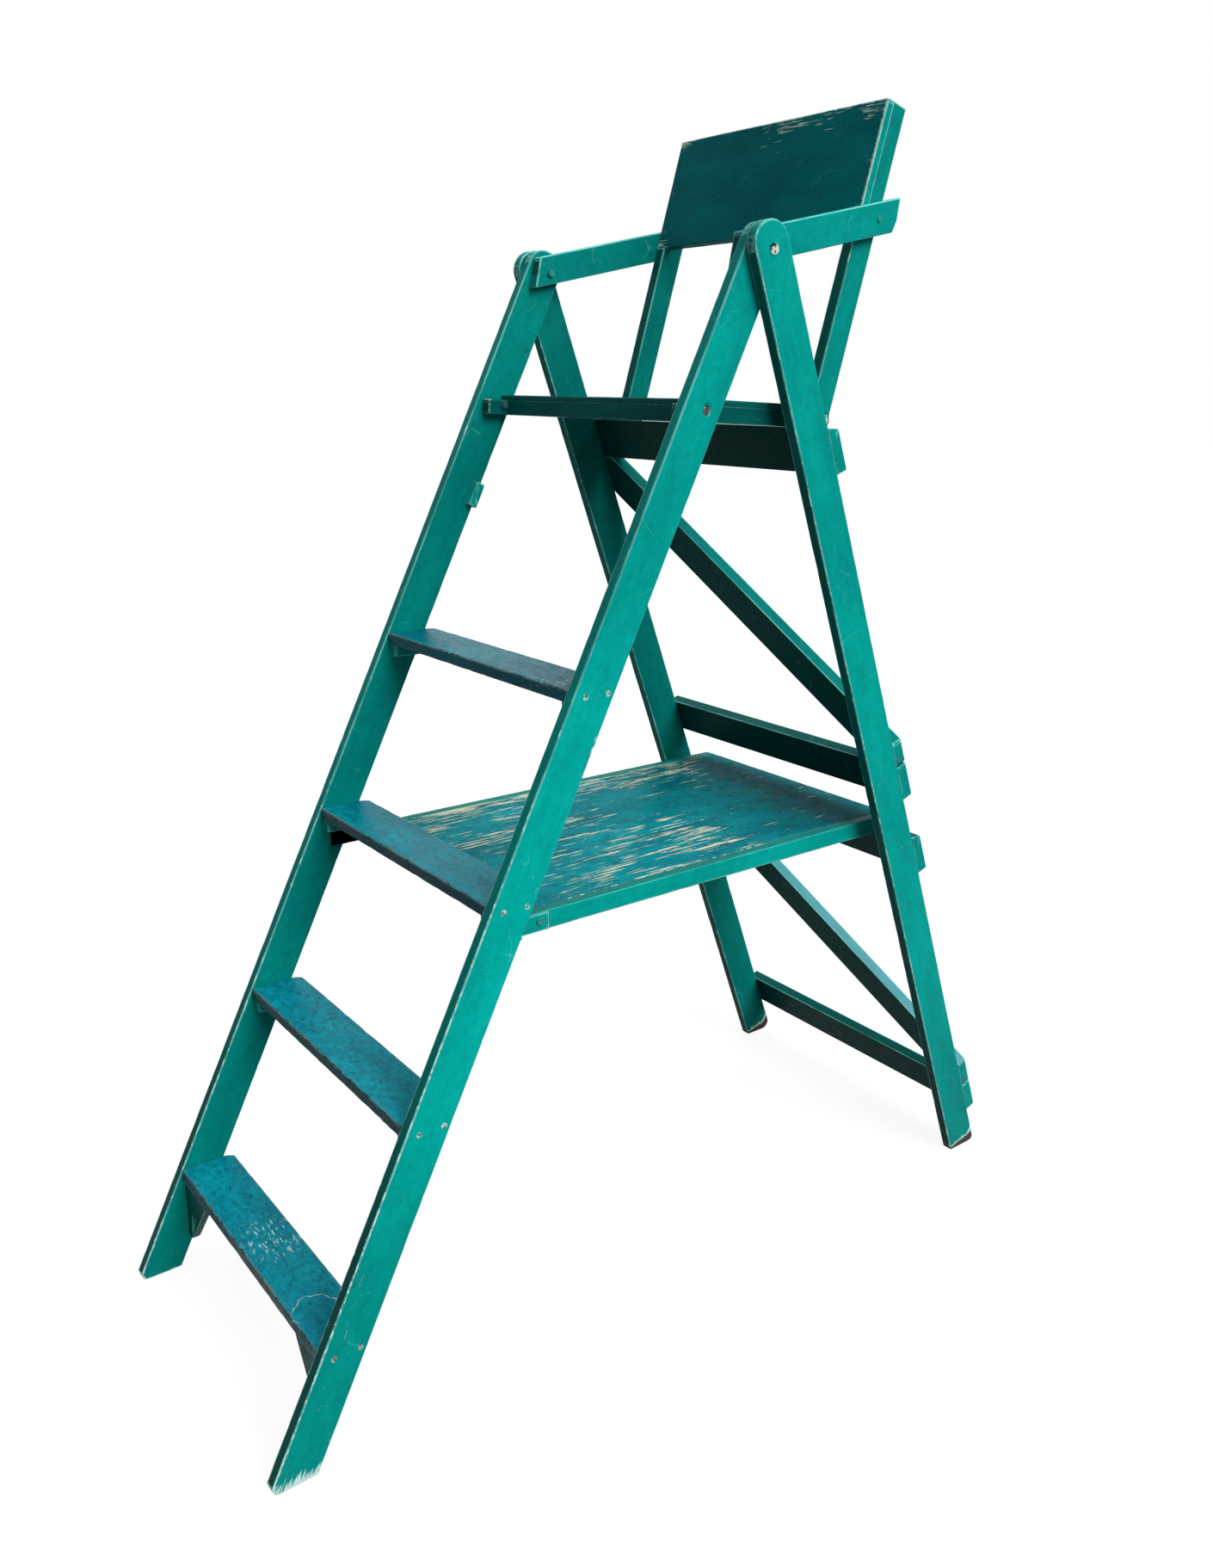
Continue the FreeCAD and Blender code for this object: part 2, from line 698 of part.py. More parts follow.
for index, name in enumerate(deck_names):
    x_low = -side_inner + deck_width * index + (deck_gap / 2 if index else 0.0)
    x_high = -side_inner + deck_width * (index + 1) - (deck_gap / 2 if index < deck_boards - 1 else 0.0)
    points = [
        (platform_start, deck_low),
        (platform_end, deck_low),
        (platform_end, platform_top),
        (platform_start, platform_top),
    ]
    deck = eased(slab(points, x_low, x_high), ease_radius * 0.6)
    nodes["deck_board_" + name] = cut_all(deck, platform_nail_holes)
for name, start in batten_starts.items():
    points = [
        (start, batten_low),
        (start + batten_width, batten_low),
        (start + batten_width, deck_low),
        (start, deck_low),
    ]
    batten = eased(slab(points, -side_inner, side_inner), ease_radius * 0.6)
    nodes["platform_batten_" + name] = cut_all(batten, platform_nail_holes)
nodes["platform_nails"] = Part.makeCompound(platform_nails)

# Bearers on the stiles, with thin tongues that hold the platform's pivots
bearer_low = platform_top - bearer_height
bearer_inner = stile_inner - bearer_thick
tongue_outer = bearer_inner + bearer_tongue


def bearer_block(front, rear, x_high):
    """Block of a bearer between two places ahead of and behind the pivot."""
    points = [
        (platform_pivot[0] - front, bearer_low),
        (platform_pivot[0] + rear, bearer_low),
        (platform_pivot[0] + rear, platform_top),
        (platform_pivot[0] - front, platform_top),
    ]
    return slab(points, bearer_inner, x_high)


bearer = bearer_block(bearer_front, -bearer_shoulder, stile_inner)
bearer = bearer.fuse(bearer_block(bearer_front, bearer_rear, tongue_outer)).removeSplitter()
bearer = eased(bearer, ease_radius * 0.6)
bearer = bearer.cut(rod(pivot_hole, bearer_inner - 1, stile_inner + 1, platform_pivot))
nodes["platform_bearer_left"] = bearer
nodes["platform_bearer_right"] = mirrored(bearer)

# Pivot bolts with their washers and nuts
arm_tip = arm_inner - nut_height - bolt_beyond_nut
seat_tip = seat_inner - nut_height - bolt_beyond_nut
post_tip = post_inner - nut_height - bolt_beyond_nut
apex_bolt = bolt(bolt_radius, head_radius, head_height, arm_tip, leg_outer, axis)
nodes["apex_bolts"] = Part.makeCompound(both_sides([apex_bolt]))
washer = rod(washer_radius, stile_outer, leg_inner, axis)
washer = washer.cut(rod(pivot_hole, stile_outer - 1, leg_inner + 1, axis))
nodes["apex_washers"] = Part.makeCompound(both_sides([washer]))
apex_nut = nut(nut_width, bolt_radius, arm_inner - nut_height, arm_inner, axis)
nodes["apex_nuts"] = Part.makeCompound(both_sides([apex_nut]))
bore_floor = stile_outer - counterbore_depth
seat_bolt = bolt(bolt_radius, sunk_head_radius, head_height, seat_tip, bore_floor, seat_pivot)
nodes["seat_pivot_bolts"] = Part.makeCompound(both_sides([seat_bolt]))
seat_nut = nut(nut_width, bolt_radius, seat_inner - nut_height, seat_inner, seat_pivot)
nodes["seat_pivot_nuts"] = Part.makeCompound(both_sides([seat_nut]))
back_pin = bolt(small_bolt_radius, small_head_radius, small_head_height, post_tip, arm_outer, back_bolt)
nodes["back_pivot_bolts"] = Part.makeCompound(both_sides([back_pin]))
back_nut = nut(small_nut_width, small_bolt_radius, post_inner - nut_height, post_inner, back_bolt)
nodes["back_pivot_nuts"] = Part.makeCompound(both_sides([back_nut]))
foot_head = (small_bolt_radius, loose_head_radius, loose_head_height)
loose_pin = bolt(*foot_head, post_tip, seat_outer, seat_bolt_spot)
nodes["post_foot_bolts"] = Part.makeCompound(both_sides([loose_pin]))
loose_nut = nut(small_nut_width, small_bolt_radius, post_inner - nut_height, post_inner, seat_bolt_spot)
nodes["post_foot_nuts"] = Part.makeCompound(both_sides([loose_nut]))
platform_tip = side_inner + platform_bolt_cover + 1.0
pivot_head = (bolt_radius, sunk_head_radius, platform_head_height)
platform_bolt = bolt(*pivot_head, platform_tip, tongue_outer, platform_pivot)
nodes["platform_pivot_bolts"] = Part.makeCompound(both_sides([platform_bolt]))

# Origin under the middle of the chair, on the floor
bounds = Part.makeCompound(list(nodes.values())).optimalBoundingBox(False, False)
shift = V(-bounds.Center.x, -bounds.Center.y, -bounds.ZMin)
os.makedirs("parts", exist_ok=True)
for name, shape in nodes.items():
    moved = shape.copy()
    moved.translate(shift)
    moved.exportStep("parts/" + name + ".step")
    print(name, len(shape.Solids), shape.isValid(), round(shape.Volume / 1000.0, 2))
print("nodes", len(nodes), "size", bounds.XLength, bounds.YLength, bounds.ZLength)
print("shift", shift)
print("pivots", axis, seat_pivot, back_bolt, seat_bolt_spot, platform_pivot)
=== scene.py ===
"""Painted timber folding umpire chair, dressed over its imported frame.

Sizes are in millimetres about the folding axis and are turned into metres of the
row frame only where a mesh is made. X runs across the chair, the treads face -Y.
"""
import json
import logging
import math
from dataclasses import dataclass, field
from enum import Enum
from typing import Callable, Iterable, Optional, Sequence

import bmesh
import bpy
from mathutils import Matrix, Vector
from mathutils import noise as hand


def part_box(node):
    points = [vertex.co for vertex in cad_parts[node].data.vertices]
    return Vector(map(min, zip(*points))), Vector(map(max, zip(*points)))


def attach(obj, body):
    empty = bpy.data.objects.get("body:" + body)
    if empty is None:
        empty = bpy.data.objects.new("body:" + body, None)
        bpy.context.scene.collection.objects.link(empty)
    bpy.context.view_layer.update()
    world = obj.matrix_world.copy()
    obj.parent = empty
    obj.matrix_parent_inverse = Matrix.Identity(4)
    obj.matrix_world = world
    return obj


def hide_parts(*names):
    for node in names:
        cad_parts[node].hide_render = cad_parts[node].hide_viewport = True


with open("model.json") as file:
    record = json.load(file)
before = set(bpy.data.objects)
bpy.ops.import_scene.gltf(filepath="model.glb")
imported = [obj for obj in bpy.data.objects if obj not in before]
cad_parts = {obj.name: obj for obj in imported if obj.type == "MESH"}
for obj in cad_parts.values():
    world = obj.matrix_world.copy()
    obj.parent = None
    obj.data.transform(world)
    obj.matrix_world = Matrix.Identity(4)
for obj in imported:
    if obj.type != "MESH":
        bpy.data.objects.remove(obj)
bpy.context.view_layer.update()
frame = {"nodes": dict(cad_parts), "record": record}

LOG = logging.getLogger("umpire_chair")
MM = 0.001
AXIS_HEIGHT = 1575.0
X, Y, Z = Vector((1, 0, 0)), Vector((0, 1, 0)), Vector((0, 0, 1))
# Each timber's seed shifts its grain by this much, so that no two show the same marks.
GRAIN_SKEW = (1.713, 0.631, 0.377)
TREAD_SEED = 11.0
TREAD_SEED_STEP = 2.3

Point2 = tuple[float, float]
Point3 = tuple[float, float, float]
Tone = tuple[int, int, int]
PaintMap = Callable[[float, float, float], float]
Spot = tuple[Vector, Vector]
Socket = bpy.types.NodeSocket
Material = bpy.types.Material
Piece = bpy.types.Object
Mesh = bmesh.types.BMesh
Vert = bmesh.types.BMVert
Layer = bmesh.types.BMLayerItem
Feeds = dict[int | str, object]


class Side(Enum):
    """Side of the chair, as the sitter has it."""

    LEFT = 1
    RIGHT = -1

    @property
    def word(self) -> str:
        """Word for the side in the names of pieces and nodes."""
        return self.name.lower()

    def span(self, one: float, other: float) -> list[float]:
        """Two distances from the middle as places on X, the lower first."""
        return sorted((self.value * one, self.value * other))


class Slot(Enum):
    """Material slots of the record."""

    FRAME = "frame_paint"
    TREAD = "tread_paint"
    # Slot of the seat and the back board, whose darker paint is painted shade.
    DARK = "dark_paint"
    STEEL = "steel"


def axis_place() -> Vector:
    """Place of the folding axis in the row frame, in metres.

    Returns:
        The place, as a vector.
    """
    for joint in frame["record"]["behaviour"]["joints"]:
        if joint["name"] == "fold":
            return Vector(joint["pos_m"])
    raise LookupError("the record has no fold joint")


ORIGIN = axis_place()


def metres(point: Vector) -> Vector:
    """Turn a place in mm, with y behind the axis and z above the floor, into metres of the row frame."""
    return Vector((point.x * MM, point.y * MM + ORIGIN.y, point.z * MM))


def srgb(red: int, green: int, blue: int) -> tuple[float, float, float, float]:
    """Turn a display colour into the linear colour that a shader takes.

    Args:
        red, green, blue: channels from 0 to 255.

    Returns:
        The linear colour, opaque.
    """
    def linear(value: float) -> float:
        """One channel of the colour."""
        return value / 12.92 if value <= 0.04045 else ((value + 0.055) / 1.055) ** 2.4

    return (linear(red / 255.0), linear(green / 255.0), linear(blue / 255.0), 1.0)


def grain_spot(seed: float, along: float, across: float) -> Point3:
    """Grain coordinate of a place on the face of a timber, by its seed."""
    return (along * MM + seed * GRAIN_SKEW[0], across * MM + seed * GRAIN_SKEW[1], 0.0)


def smooth(low: float, high: float, value: float) -> float:
    """Smooth step from 0 at low to 1 at high."""
    part = min(max((value - low) / (high - low), 0.0), 1.0)
    return part * part * (3.0 - 2.0 * part)


# Patterns


EVEN: Point3 = (1.0, 1.0, 1.0)


@dataclass(frozen=True)
class Pattern:
    """Noise of one fineness per metre, drawn out along the grain by a small first stretch."""

    scale: float
    detail: float = 2.0
    rough: float = 0.5
    stretch: Point3 = EVEN


TONE = Pattern(6.0, 4.0, 0.55, (1.0, 2.5, 2.5))
BRUSH_MARKS = Pattern(420.0, 2.0, 0.6, (0.035, 1.0, 1.0))
CLOUDS = Pattern(70.0, 4.0, 0.6)
CHIP_REACH = Pattern(13.0, 3.0, 0.6, (1.0, 2.0, 2.0))
TORN_EDGE = Pattern(240.0, 5.0, 0.68, (0.38, 1.0, 1.0))
FLAKE_PATCHES = Pattern(21.0, 4.0, 0.55, (0.7, 1.6, 1.6))
SPECK_PLACES = Pattern(24.0)
SPECKS = Pattern(480.0)
# Breaks in the pale arris line, which is rubbed paint and a painted highlight.
ARRIS_RUB_AND_HIGHLIGHT = Pattern(60.0, 3.0, 0.6, (0.2, 1.0, 1.0))
SCRATCH_LINES = Pattern(11.0, 2.0, 0.4)
SCRATCH_PLACES = Pattern(19.0)
RUB_SPOTS = Pattern(330.0, 4.0, 0.65)
RUB_PLACES = Pattern(9.0)
SHOE_SCRAPES = Pattern(230.0, 5.0, 0.7, (0.3, 1.0, 1.0))
SCRATCH_DRIFT = Pattern(45.0)
SCRATCH_BREAKS = Pattern(120.0, 3.0, 0.6)
BARE_TIMBER = Pattern(190.0, 4.0, 0.6, (0.15, 1.0, 1.0))
# Patches of a pale painted sheen, the sky's reflection on upward faces.
SHEEN_FILM = Pattern(70.0, 4.0, 0.6, (0.3, 1.0, 1.0))
RIDGES = Pattern(150.0, 3.0, 0.55, (0.03, 1.0, 1.0))
RUST_PATCHES = Pattern(260.0, 5.0, 0.65)
RUST_GRIT = Pattern(1400.0, 4.0, 0.7)
PAINT_LEFT = Pattern(170.0, 3.0, 0.6)
# Dark patches on steel: tarnish, and painted shade of the hollows round heads.
TARNISH_AND_SHADE_PATCHES = Pattern(130.0)


# Finishes


class Shade:
    """Short calls for the nodes of one material."""

    def __init__(self, name: str) -> None:
        """Start an empty material of that name.

        Args:
            name: name of the material.
        """
        self.material = bpy.data.materials.new(name)
        self.material.use_nodes = True
        self.tree = self.material.node_tree
        self.tree.nodes.clear()
        self.out = self.tree.nodes.new("ShaderNodeOutputMaterial")

    def node(self, kind: str, feeds: Optional[Feeds] = None, **settings: object) -> bpy.types.Node:
        """Add a node, set its properties and feed its inputs.

        Args:
            kind: type of the node.
            feeds: values or sockets by name or number of the input.
            settings: its properties.

        Returns:
            The node.
        """
        made = self.tree.nodes.new(kind)
        for key, value in settings.items():
            setattr(made, key, value)
        for key, value in (feeds or {}).items():
            self.feed(made.inputs[key], value)
        return made

    def feed(self, socket: Socket, value: object) -> None:
        """Link a socket, or set its constant.

        Args:
            socket: an input.
            value: an output to link, or a constant.
        """
        if isinstance(value, Socket):
            self.tree.links.new(value, socket)
        else:
            socket.default_value = value

    def sum(self, kind: str, first: object, second: object = 0.0, third: object = 0.0) -> Socket:
        """Result of a math node with that operation."""
        return self.node("ShaderNodeMath", {0: first, 1: second, 2: third}, operation=kind).outputs[0]

    def plus(self, first: object, second: object) -> Socket:
        """Sum of two values."""
        return self.sum("ADD", first, second)

    def less(self, first: object, second: object) -> Socket:
        """First value less the second."""
        return self.sum("SUBTRACT", first, second)

    def times(self, first: object, second: object) -> Socket:
        """Product of two values."""
        return self.sum("MULTIPLY", first, second)

    def most(self, first: object, second: object) -> Socket:
        """Greater of two values."""
        return self.sum("MAXIMUM", first, second)

    def stretch(self, vector: object, factors: Sequence[float]) -> Socket:
        """Vector scaled along each of its parts."""
        return self.node("ShaderNodeVectorMath", {0: vector, 1: factors}, operation="MULTIPLY").outputs[0]

    def noise(self, vector: object, pattern: Pattern) -> Socket:
        """Noise value from 0 to 1.

        Args:
            vector: socket of a place.
            pattern: fineness and stretch of the noise.

        Returns:
            The value.
        """
        if pattern.stretch != EVEN:
            vector = self.stretch(vector, pattern.stretch)
        feeds = {"Vector": vector, "Scale": pattern.scale, "Detail": pattern.detail,
                 "Roughness": pattern.rough}
        return self.node("ShaderNodeTexNoise", feeds).outputs[0]

    def step(self, value: object, low: object, high: object, to_low: float = 0.0,
             to_high: float = 1.0) -> Socket:
        """Smooth step of a value between two limits."""
        feeds = {"Value": value, "From Min": low, "From Max": high, "To Min": to_low, "To Max": to_high}
        return self.node("ShaderNodeMapRange", feeds, interpolation_type="SMOOTHSTEP").outputs[0]

    def blend(self, factor: object, first: object, second: object, how: str = "MIX") -> Socket:
        """Mix of two colours, by the share of the second."""
        feeds = {0: factor, 6: first, 7: second}
        return self.node("ShaderNodeMix", feeds, data_type="RGBA", blend_type=how).outputs[2]

    def attribute(self, name: str, vector: bool = False) -> Socket:
        """Value of a mesh attribute."""
        made = self.node("ShaderNodeAttribute", attribute_name=name)
        return made.outputs["Vector" if vector else "Fac"]

    def bump(self, height: object, strength: float, depth: float) -> Socket:
        """Normal bent by a height, to a depth in metres."""
        feeds = {"Strength": strength, "Distance": depth, "Height": height}
        return self.node("ShaderNodeBump", feeds).outputs[0]

    def grey(self, value: object) -> Socket:
        """Colour with the same value in each channel."""
        return self.node("ShaderNodeCombineColor", {0: value, 1: value, 2: value}).outputs[0]

    def finish(self, colour: object, rough: object, normal: object, metal: object = 0.0,
               specular: float = 0.5) -> Material:
        """Close the material with one surface shader.

        Args:
            colour, rough, normal, metal: values or sockets of the surface.
            specular: its specular level.

        Returns:
            The material.
        """
        body = self.node("ShaderNodeBsdfPrincipled", {
            "Specular IOR Level": specular, "Base Color": colour, "Roughness": rough, "Metallic": metal,
            "Normal": normal})
        self.feed(self.out.inputs["Surface"], body.outputs[0])
        return self.material


@dataclass(frozen=True)
class PaintFinish:
    """Old gloss paint on planed timber, chipped on its arrises and flaked along the grain."""

    name: str
    light: Tone
    deep: Tone
    primer: Tone = (206, 210, 196)
    bare: Tone = (122, 110, 94)
    # Pale arris line and rub spots: rubbed paint, with a painted highlight on the rounded arrises.
    rub: Tone = (120, 222, 212)
    # Pale painted reflection of the sky on upward faces.
    dusty: Tone = (116, 164, 182)
    scraped: Tone = (196, 226, 230)
    chip_width: float = 1.5
    flake: float = 0.0
    patchy: float = 0.08
    fibre_scale: float = 210.0
    fibre_stretch: float = 0.10
    fibre_rough: float = 0.62
    scuff: float = 0.14
    # How far the shade map darkens the paint, as painted shade.
    shade_share: float = 0.40
    blotch: float = 0.05
    grime: float = 0.12
    grime_scale: float = 55.0
    bare_share: float = 0.5
    gloss: float = 0.42
    specular: float = 0.035
    grain_depth: float = 0.4
    dirt: Tone = (4, 44, 50)
    # Dark rim round chips and flakes: dirt, and painted shade of the broken paint edge.
    chip_rim: Tone = (6, 62, 62)
    arc_centre: Point3 = (0.0, 0.0, 0.0)
    arc_radius: float = 0.0

    def base(self, make: Shade, grain: object) -> tuple[object, object, object]:
        """Sound paint: its colour, brush marks, cloudy tone, dirt and painted shade.

        Args:
            make: the material under construction.
            grain: grain coordinate of the timber.

        Returns:
            Colour, brush value and cloud value.
        """
        tone = make.noise(grain, TONE)
        colour = make.blend(make.step(tone, 0.3, 0.7), srgb(*self.deep), srgb(*self.light))
        brush = make.noise(grain, BRUSH_MARKS)
        cloud = make.noise(grain, CLOUDS)
        shade = make.plus(make.step(brush, 0.3, 0.7, 0.94, 1.03),
                         make.step(cloud, 0.3, 0.7, -self.blotch, self.blotch))
        colour = make.blend(1.0, colour, make.grey(shade), "MULTIPLY")
        dirt = make.noise(grain, Pattern(self.grime_scale, 7.0, 0.72, (0.8, 1.2, 1.2)))
        colour = make.blend(make.step(dirt, 0.50, 0.64, 0.0, self.grime), colour, srgb(*self.dirt))
        # Painted shade: the shade map darkens faces that get less light, and lightens some as painted light
        # where it is negative.
        painted_shade = make.times(make.attribute("shade"), self.shade_share)
        return make.blend(1.0, colour, make.grey(make.less(1.0, painted_shade)), "MULTIPLY"), brush, cloud

    def losses(self, make: Shade, grain: object, arris: object, wear: object) -> tuple[object, object]:
        """Where the paint is gone, and the dark rim of dirt and painted shade round these places.

        Args:
            make: the material under construction.
            grain, arris, wear: sockets of the timber's maps.

        Returns:
            Share of lost paint and share of rim.
        """
        reach = make.noise(grain, CHIP_REACH)
        more = make.times(make.step(reach, 0.56, 0.74, 0.0, 1.7), make.plus(wear, 0.22))
        reach = make.plus(more, make.times(wear, 1.3))
        torn = make.noise(grain, TORN_EDGE)
        width = make.times(reach, self.chip_width * MM)
        ragged = make.plus(make.step(torn, 0.42, 0.66, -0.7, 1.4), make.times(wear, 0.9))
        limit = make.times(width, ragged)
        gap = make.less(limit, arris)
        chip = make.step(gap, 0.0, 0.3 * MM)
        rim = make.step(gap, -0.6 * MM, 0.0)
        fibre = make.noise(grain, Pattern(self.fibre_scale, 6.0, self.fibre_rough,
                                          (self.fibre_stretch, 1.0, 1.0)))
        patch = make.noise(grain, FLAKE_PATCHES)
        load = make.plus(make.times(wear, 0.34), self.flake)
        load = make.plus(load, make.step(patch, 0.35, 0.7, -self.patchy, self.patchy))
        start = make.less(0.86, load)
        flake = make.step(fibre, start, make.plus(start, 0.012))
        around = make.step(fibre, make.less(start, 0.03), start)
        rare = make.step(make.noise(grain, SPECK_PLACES), 0.56, 0.66)
        dot = make.times(make.step(make.noise(grain, SPECKS), 0.70, 0.73), rare)
        gone = make.most(make.most(chip, flake), make.times(dot, 0.7))
        return gone, make.most(rim, around)

    def marks(self, make: Shade, grain: object, arris: object) -> tuple[object, object]:
        """Rubbed arrises with a painted highlight, thin scratches, and the pale scrapes of shoes.

        Args:
            make: the material under construction.
            grain, arris: sockets of the timber's maps.

        Returns:
            Share of rubbed paint with its painted highlight, and share of scrapes.
        """
        # Pale line along the arrises: rubbed paint, and a painted highlight where light catches the rounded
        # arris.
        edge = make.step(arris, 0.4 * MM, 1.6 * MM, 1.0, 0.0)
        thin = make.noise(grain, ARRIS_RUB_AND_HIGHLIGHT)
        rubbed = make.times(edge, make.step(thin, 0.34, 0.60, 0.35, 1.0))
        lines = make.noise(grain, SCRATCH_LINES)
        line = make.step(make.sum("ABSOLUTE", make.less(lines, 0.5)), 0.0015, 0.0045, 1.0, 0.0)
        some = make.step(make.noise(grain, SCRATCH_PLACES), 0.56, 0.64)
        scratch = make.times(line, some)
        spot = make.step(make.noise(grain, RUB_SPOTS), 0.60, 0.72)
        zone = make.step(make.noise(grain, RUB_PLACES), 0.50, 0.68)
        spots = make.times(spot, zone)
        worn = make.times(make.most(scratch, spots), self.scuff)
        trace = make.noise(grain, SHOE_SCRAPES)
        scrape = make.times(make.step(trace, 0.56, 0.61), make.attribute("scuff"))
        if self.arc_radius:
            scrape = make.most(scrape, self.arc(make, grain))
        return make.most(rubbed, worn), scrape

    def arc(self, make: Shade, grain: object) -> object:
        """One curved scratch about a place in the grain.

        Args:
            make: the material under construction.
            grain: grain coordinate of the timber.

        Returns:
            Share of the scratch.
        """
        spot = make.node("ShaderNodeVectorMath", {0: grain, 1: self.arc_centre}, operation="SUBTRACT")
        parts = make.node("ShaderNodeSeparateXYZ", {0: spot.outputs[0]})
        far = make.node("ShaderNodeVectorMath", operation="LENGTH")
        make.feed(far.inputs[0], make.stretch(spot.outputs[0], (1.0, 1.0, 0.0)))
        drift = make.step(make.noise(grain, SCRATCH_DRIFT), 0.3, 0.7, -0.003, 0.003)
        off = make.less(make.plus(far.outputs["Value"], drift), self.arc_radius)
        line = make.step(make.sum("ABSOLUTE", off), 0.4 * MM, 1.1 * MM, 0.9, 0.0)
        side = make.step(parts.outputs[0], 0.0, 14.0 * MM, 1.0, 0.0)
        broken = make.step(make.noise(grain, SCRATCH_BREAKS), 0.36, 0.50, 0.25, 1.0)
        return make.times(make.times(line, side), broken)

    def material(self) -> Material:
        """Build the material.

        Returns:
            A material that reads the grain, arris, wear and scuff attributes, and those of painted shade and
            painted sheen.
        """
        make = Shade(self.name)
        grain = make.attribute("grain", vector=True)
        arris = make.attribute("arris")
        wear = make.attribute("wear")
        colour, brush, cloud = self.base(make, grain)
        gone, rim = self.losses(make, grain, arris, wear)
        rubbed, scrape = self.marks(make, grain, arris)
        depth = make.noise(grain, BARE_TIMBER)
        depth = make.plus(depth, make.step(wear, 1.3, 1.7, 0.0, 0.5))
        limit = 0.72 - 0.3 * self.bare_share
        worn = make.blend(make.step(depth, limit, limit + 0.12), srgb(*self.primer), srgb(*self.bare))
        # Painted sheen: a pale reflection laid on the faces marked for it.
        sheen_patches = make.noise(grain, SHEEN_FILM)
        sheen_patches = make.times(make.step(sheen_patches, 0.25, 0.7, 0.55, 1.0), make.attribute("dust"))
        colour = make.blend(sheen_patches, colour, srgb(*self.dusty))
        colour = make.blend(rubbed, colour, srgb(*self.rub))
        colour = make.blend(scrape, colour, srgb(*self.scraped))
        colour = make.blend(make.times(rim, 0.5), colour, srgb(*self.chip_rim))
        colour = make.blend(gone, colour, worn)
        rough = make.step(cloud, 0.3, 0.7, self.gloss - 0.06, self.gloss + 0.12)
        rough = make.plus(rough, make.times(gone, 0.40))
        ridges = make.noise(grain, RIDGES)
        height = make.times(ridges, self.grain_depth)
        height = make.plus(height, make.times(brush, 0.22))
        height = make.plus(height, make.times(cloud, 0.25))
        height = make.less(height, make.times(gone, 0.8))
        return make.finish(colour, rough, make.bump(height, 0.6, 0.0006), specular=self.specular)


@dataclass(frozen=True)
class SteelFinish:
    """Dull steel with rust and paint left in its hollows."""

    name: str
    metal: Tone = (150, 146, 140)
    rust: Tone = (96, 58, 40)
    paint: Tone = (16, 120, 112)
    rust_share: float = 0.5
    paint_share: float = 0.4
    painted_within: float = 0.0
    # Dark patches: tarnish, and painted shade of the hollows round heads.
    tarnish: float = 0.0
    tarnish_tone: Tone = (22, 28, 28)
    deep_rust: int = 28

    def material(self) -> Material:
        """Build the material on Object coordinates.

        Returns:
            The material.
        """
        make = Shade(self.name)
        place = make.node("ShaderNodeTexCoord").outputs["Object"]
        patch = make.noise(place, RUST_PATCHES)
        grit = make.noise(place, RUST_GRIT)
        rusty = make.step(patch, 0.62 - 0.3 * self.rust_share, 0.72 - 0.3 * self.rust_share)
        cover = make.noise(place, PAINT_LEFT)
        painted = make.step(cover, 0.66 - 0.25 * self.paint_share, 0.70 - 0.25 * self.paint_share)
        across = make.node("ShaderNodeSeparateXYZ", {0: place})
        middle = make.sum("LESS_THAN", make.sum("ABSOLUTE", across.outputs[0]), self.painted_within)
        painted = make.most(painted, middle)
        dark = tuple(max(part - self.deep_rust, 0) for part in self.rust)
        worn = make.blend(make.step(grit, 0.3, 0.7), srgb(*dark), srgb(*self.rust))
        # Dark patches of tarnish and painted shade.
        dull = make.step(make.noise(place, TARNISH_AND_SHADE_PATCHES), 0.40, 0.52, self.tarnish, 0.0)
        colour = make.blend(dull, make.blend(rusty, srgb(*self.metal), worn), srgb(*self.tarnish_tone))
        colour = make.blend(painted, colour, srgb(*self.paint))
        bright = make.times(make.less(1.0, rusty), make.less(1.0, painted))
        rough = make.less(0.78, make.times(bright, 0.42))
        height = make.plus(make.times(grit, 0.5), make.times(patch, 0.5))
        return make.finish(colour, rough, make.bump(height, 0.5, 0.0003), make.times(bright, 0.9))


@dataclass(frozen=True)
class StudioFloor:
    """Pale floor that shows white and keeps a soft shadow near the chair."""

    shadow_share: float = 0.17
    shadow_reach: Point2 = (1.0, 2.6)
    bounce: float = 0.12
    shown_white: float = 1.08

    def material(self) -> Material:
        """Build the floor's material.

        Returns:
            The material.
        """
        make = Shade("studio_floor")
        matt = make.node("ShaderNodeBsdfDiffuse", {"Color": (0.9, 0.9, 0.9, 1.0)})
        dull = make.node("ShaderNodeBsdfDiffuse", {"Color": (self.bounce, self.bounce, self.bounce, 1.0)})
        glow = make.node("ShaderNodeEmission", {"Strength": self.shown_white})
        place = make.node("ShaderNodeTexCoord").outputs["Object"]
        far = make.node("ShaderNodeVectorMath", {0: place}, operation="LENGTH")
        share = make.step(far.outputs["Value"], *self.shadow_reach, self.shadow_share, 0.0)
        shown = make.node("ShaderNodeMixShader", {0: share, 1: glow.outputs[0], 2: matt.outputs[0]})
        path = make.node("ShaderNodeLightPath")
        seen = make.most(path.outputs["Is Camera Ray"], path.outputs["Is Glossy Ray"])
        seen = make.most(seen, path.outputs["Is Transmission Ray"])
        last = make.node("ShaderNodeMixShader", {0: seen, 1: dull.outputs[0], 2: shown.outputs[0]})
        make.feed(make.out.inputs["Surface"], last.outputs[0])
        return make.material


# Bolts and nuts are painted over nearer the chair's middle than this, in metres.
INNER_WALL = 0.262
# Curved scratch on the lowest tread, along and across the board in mm.
ARC_SPOT = (430.0, -9.0)


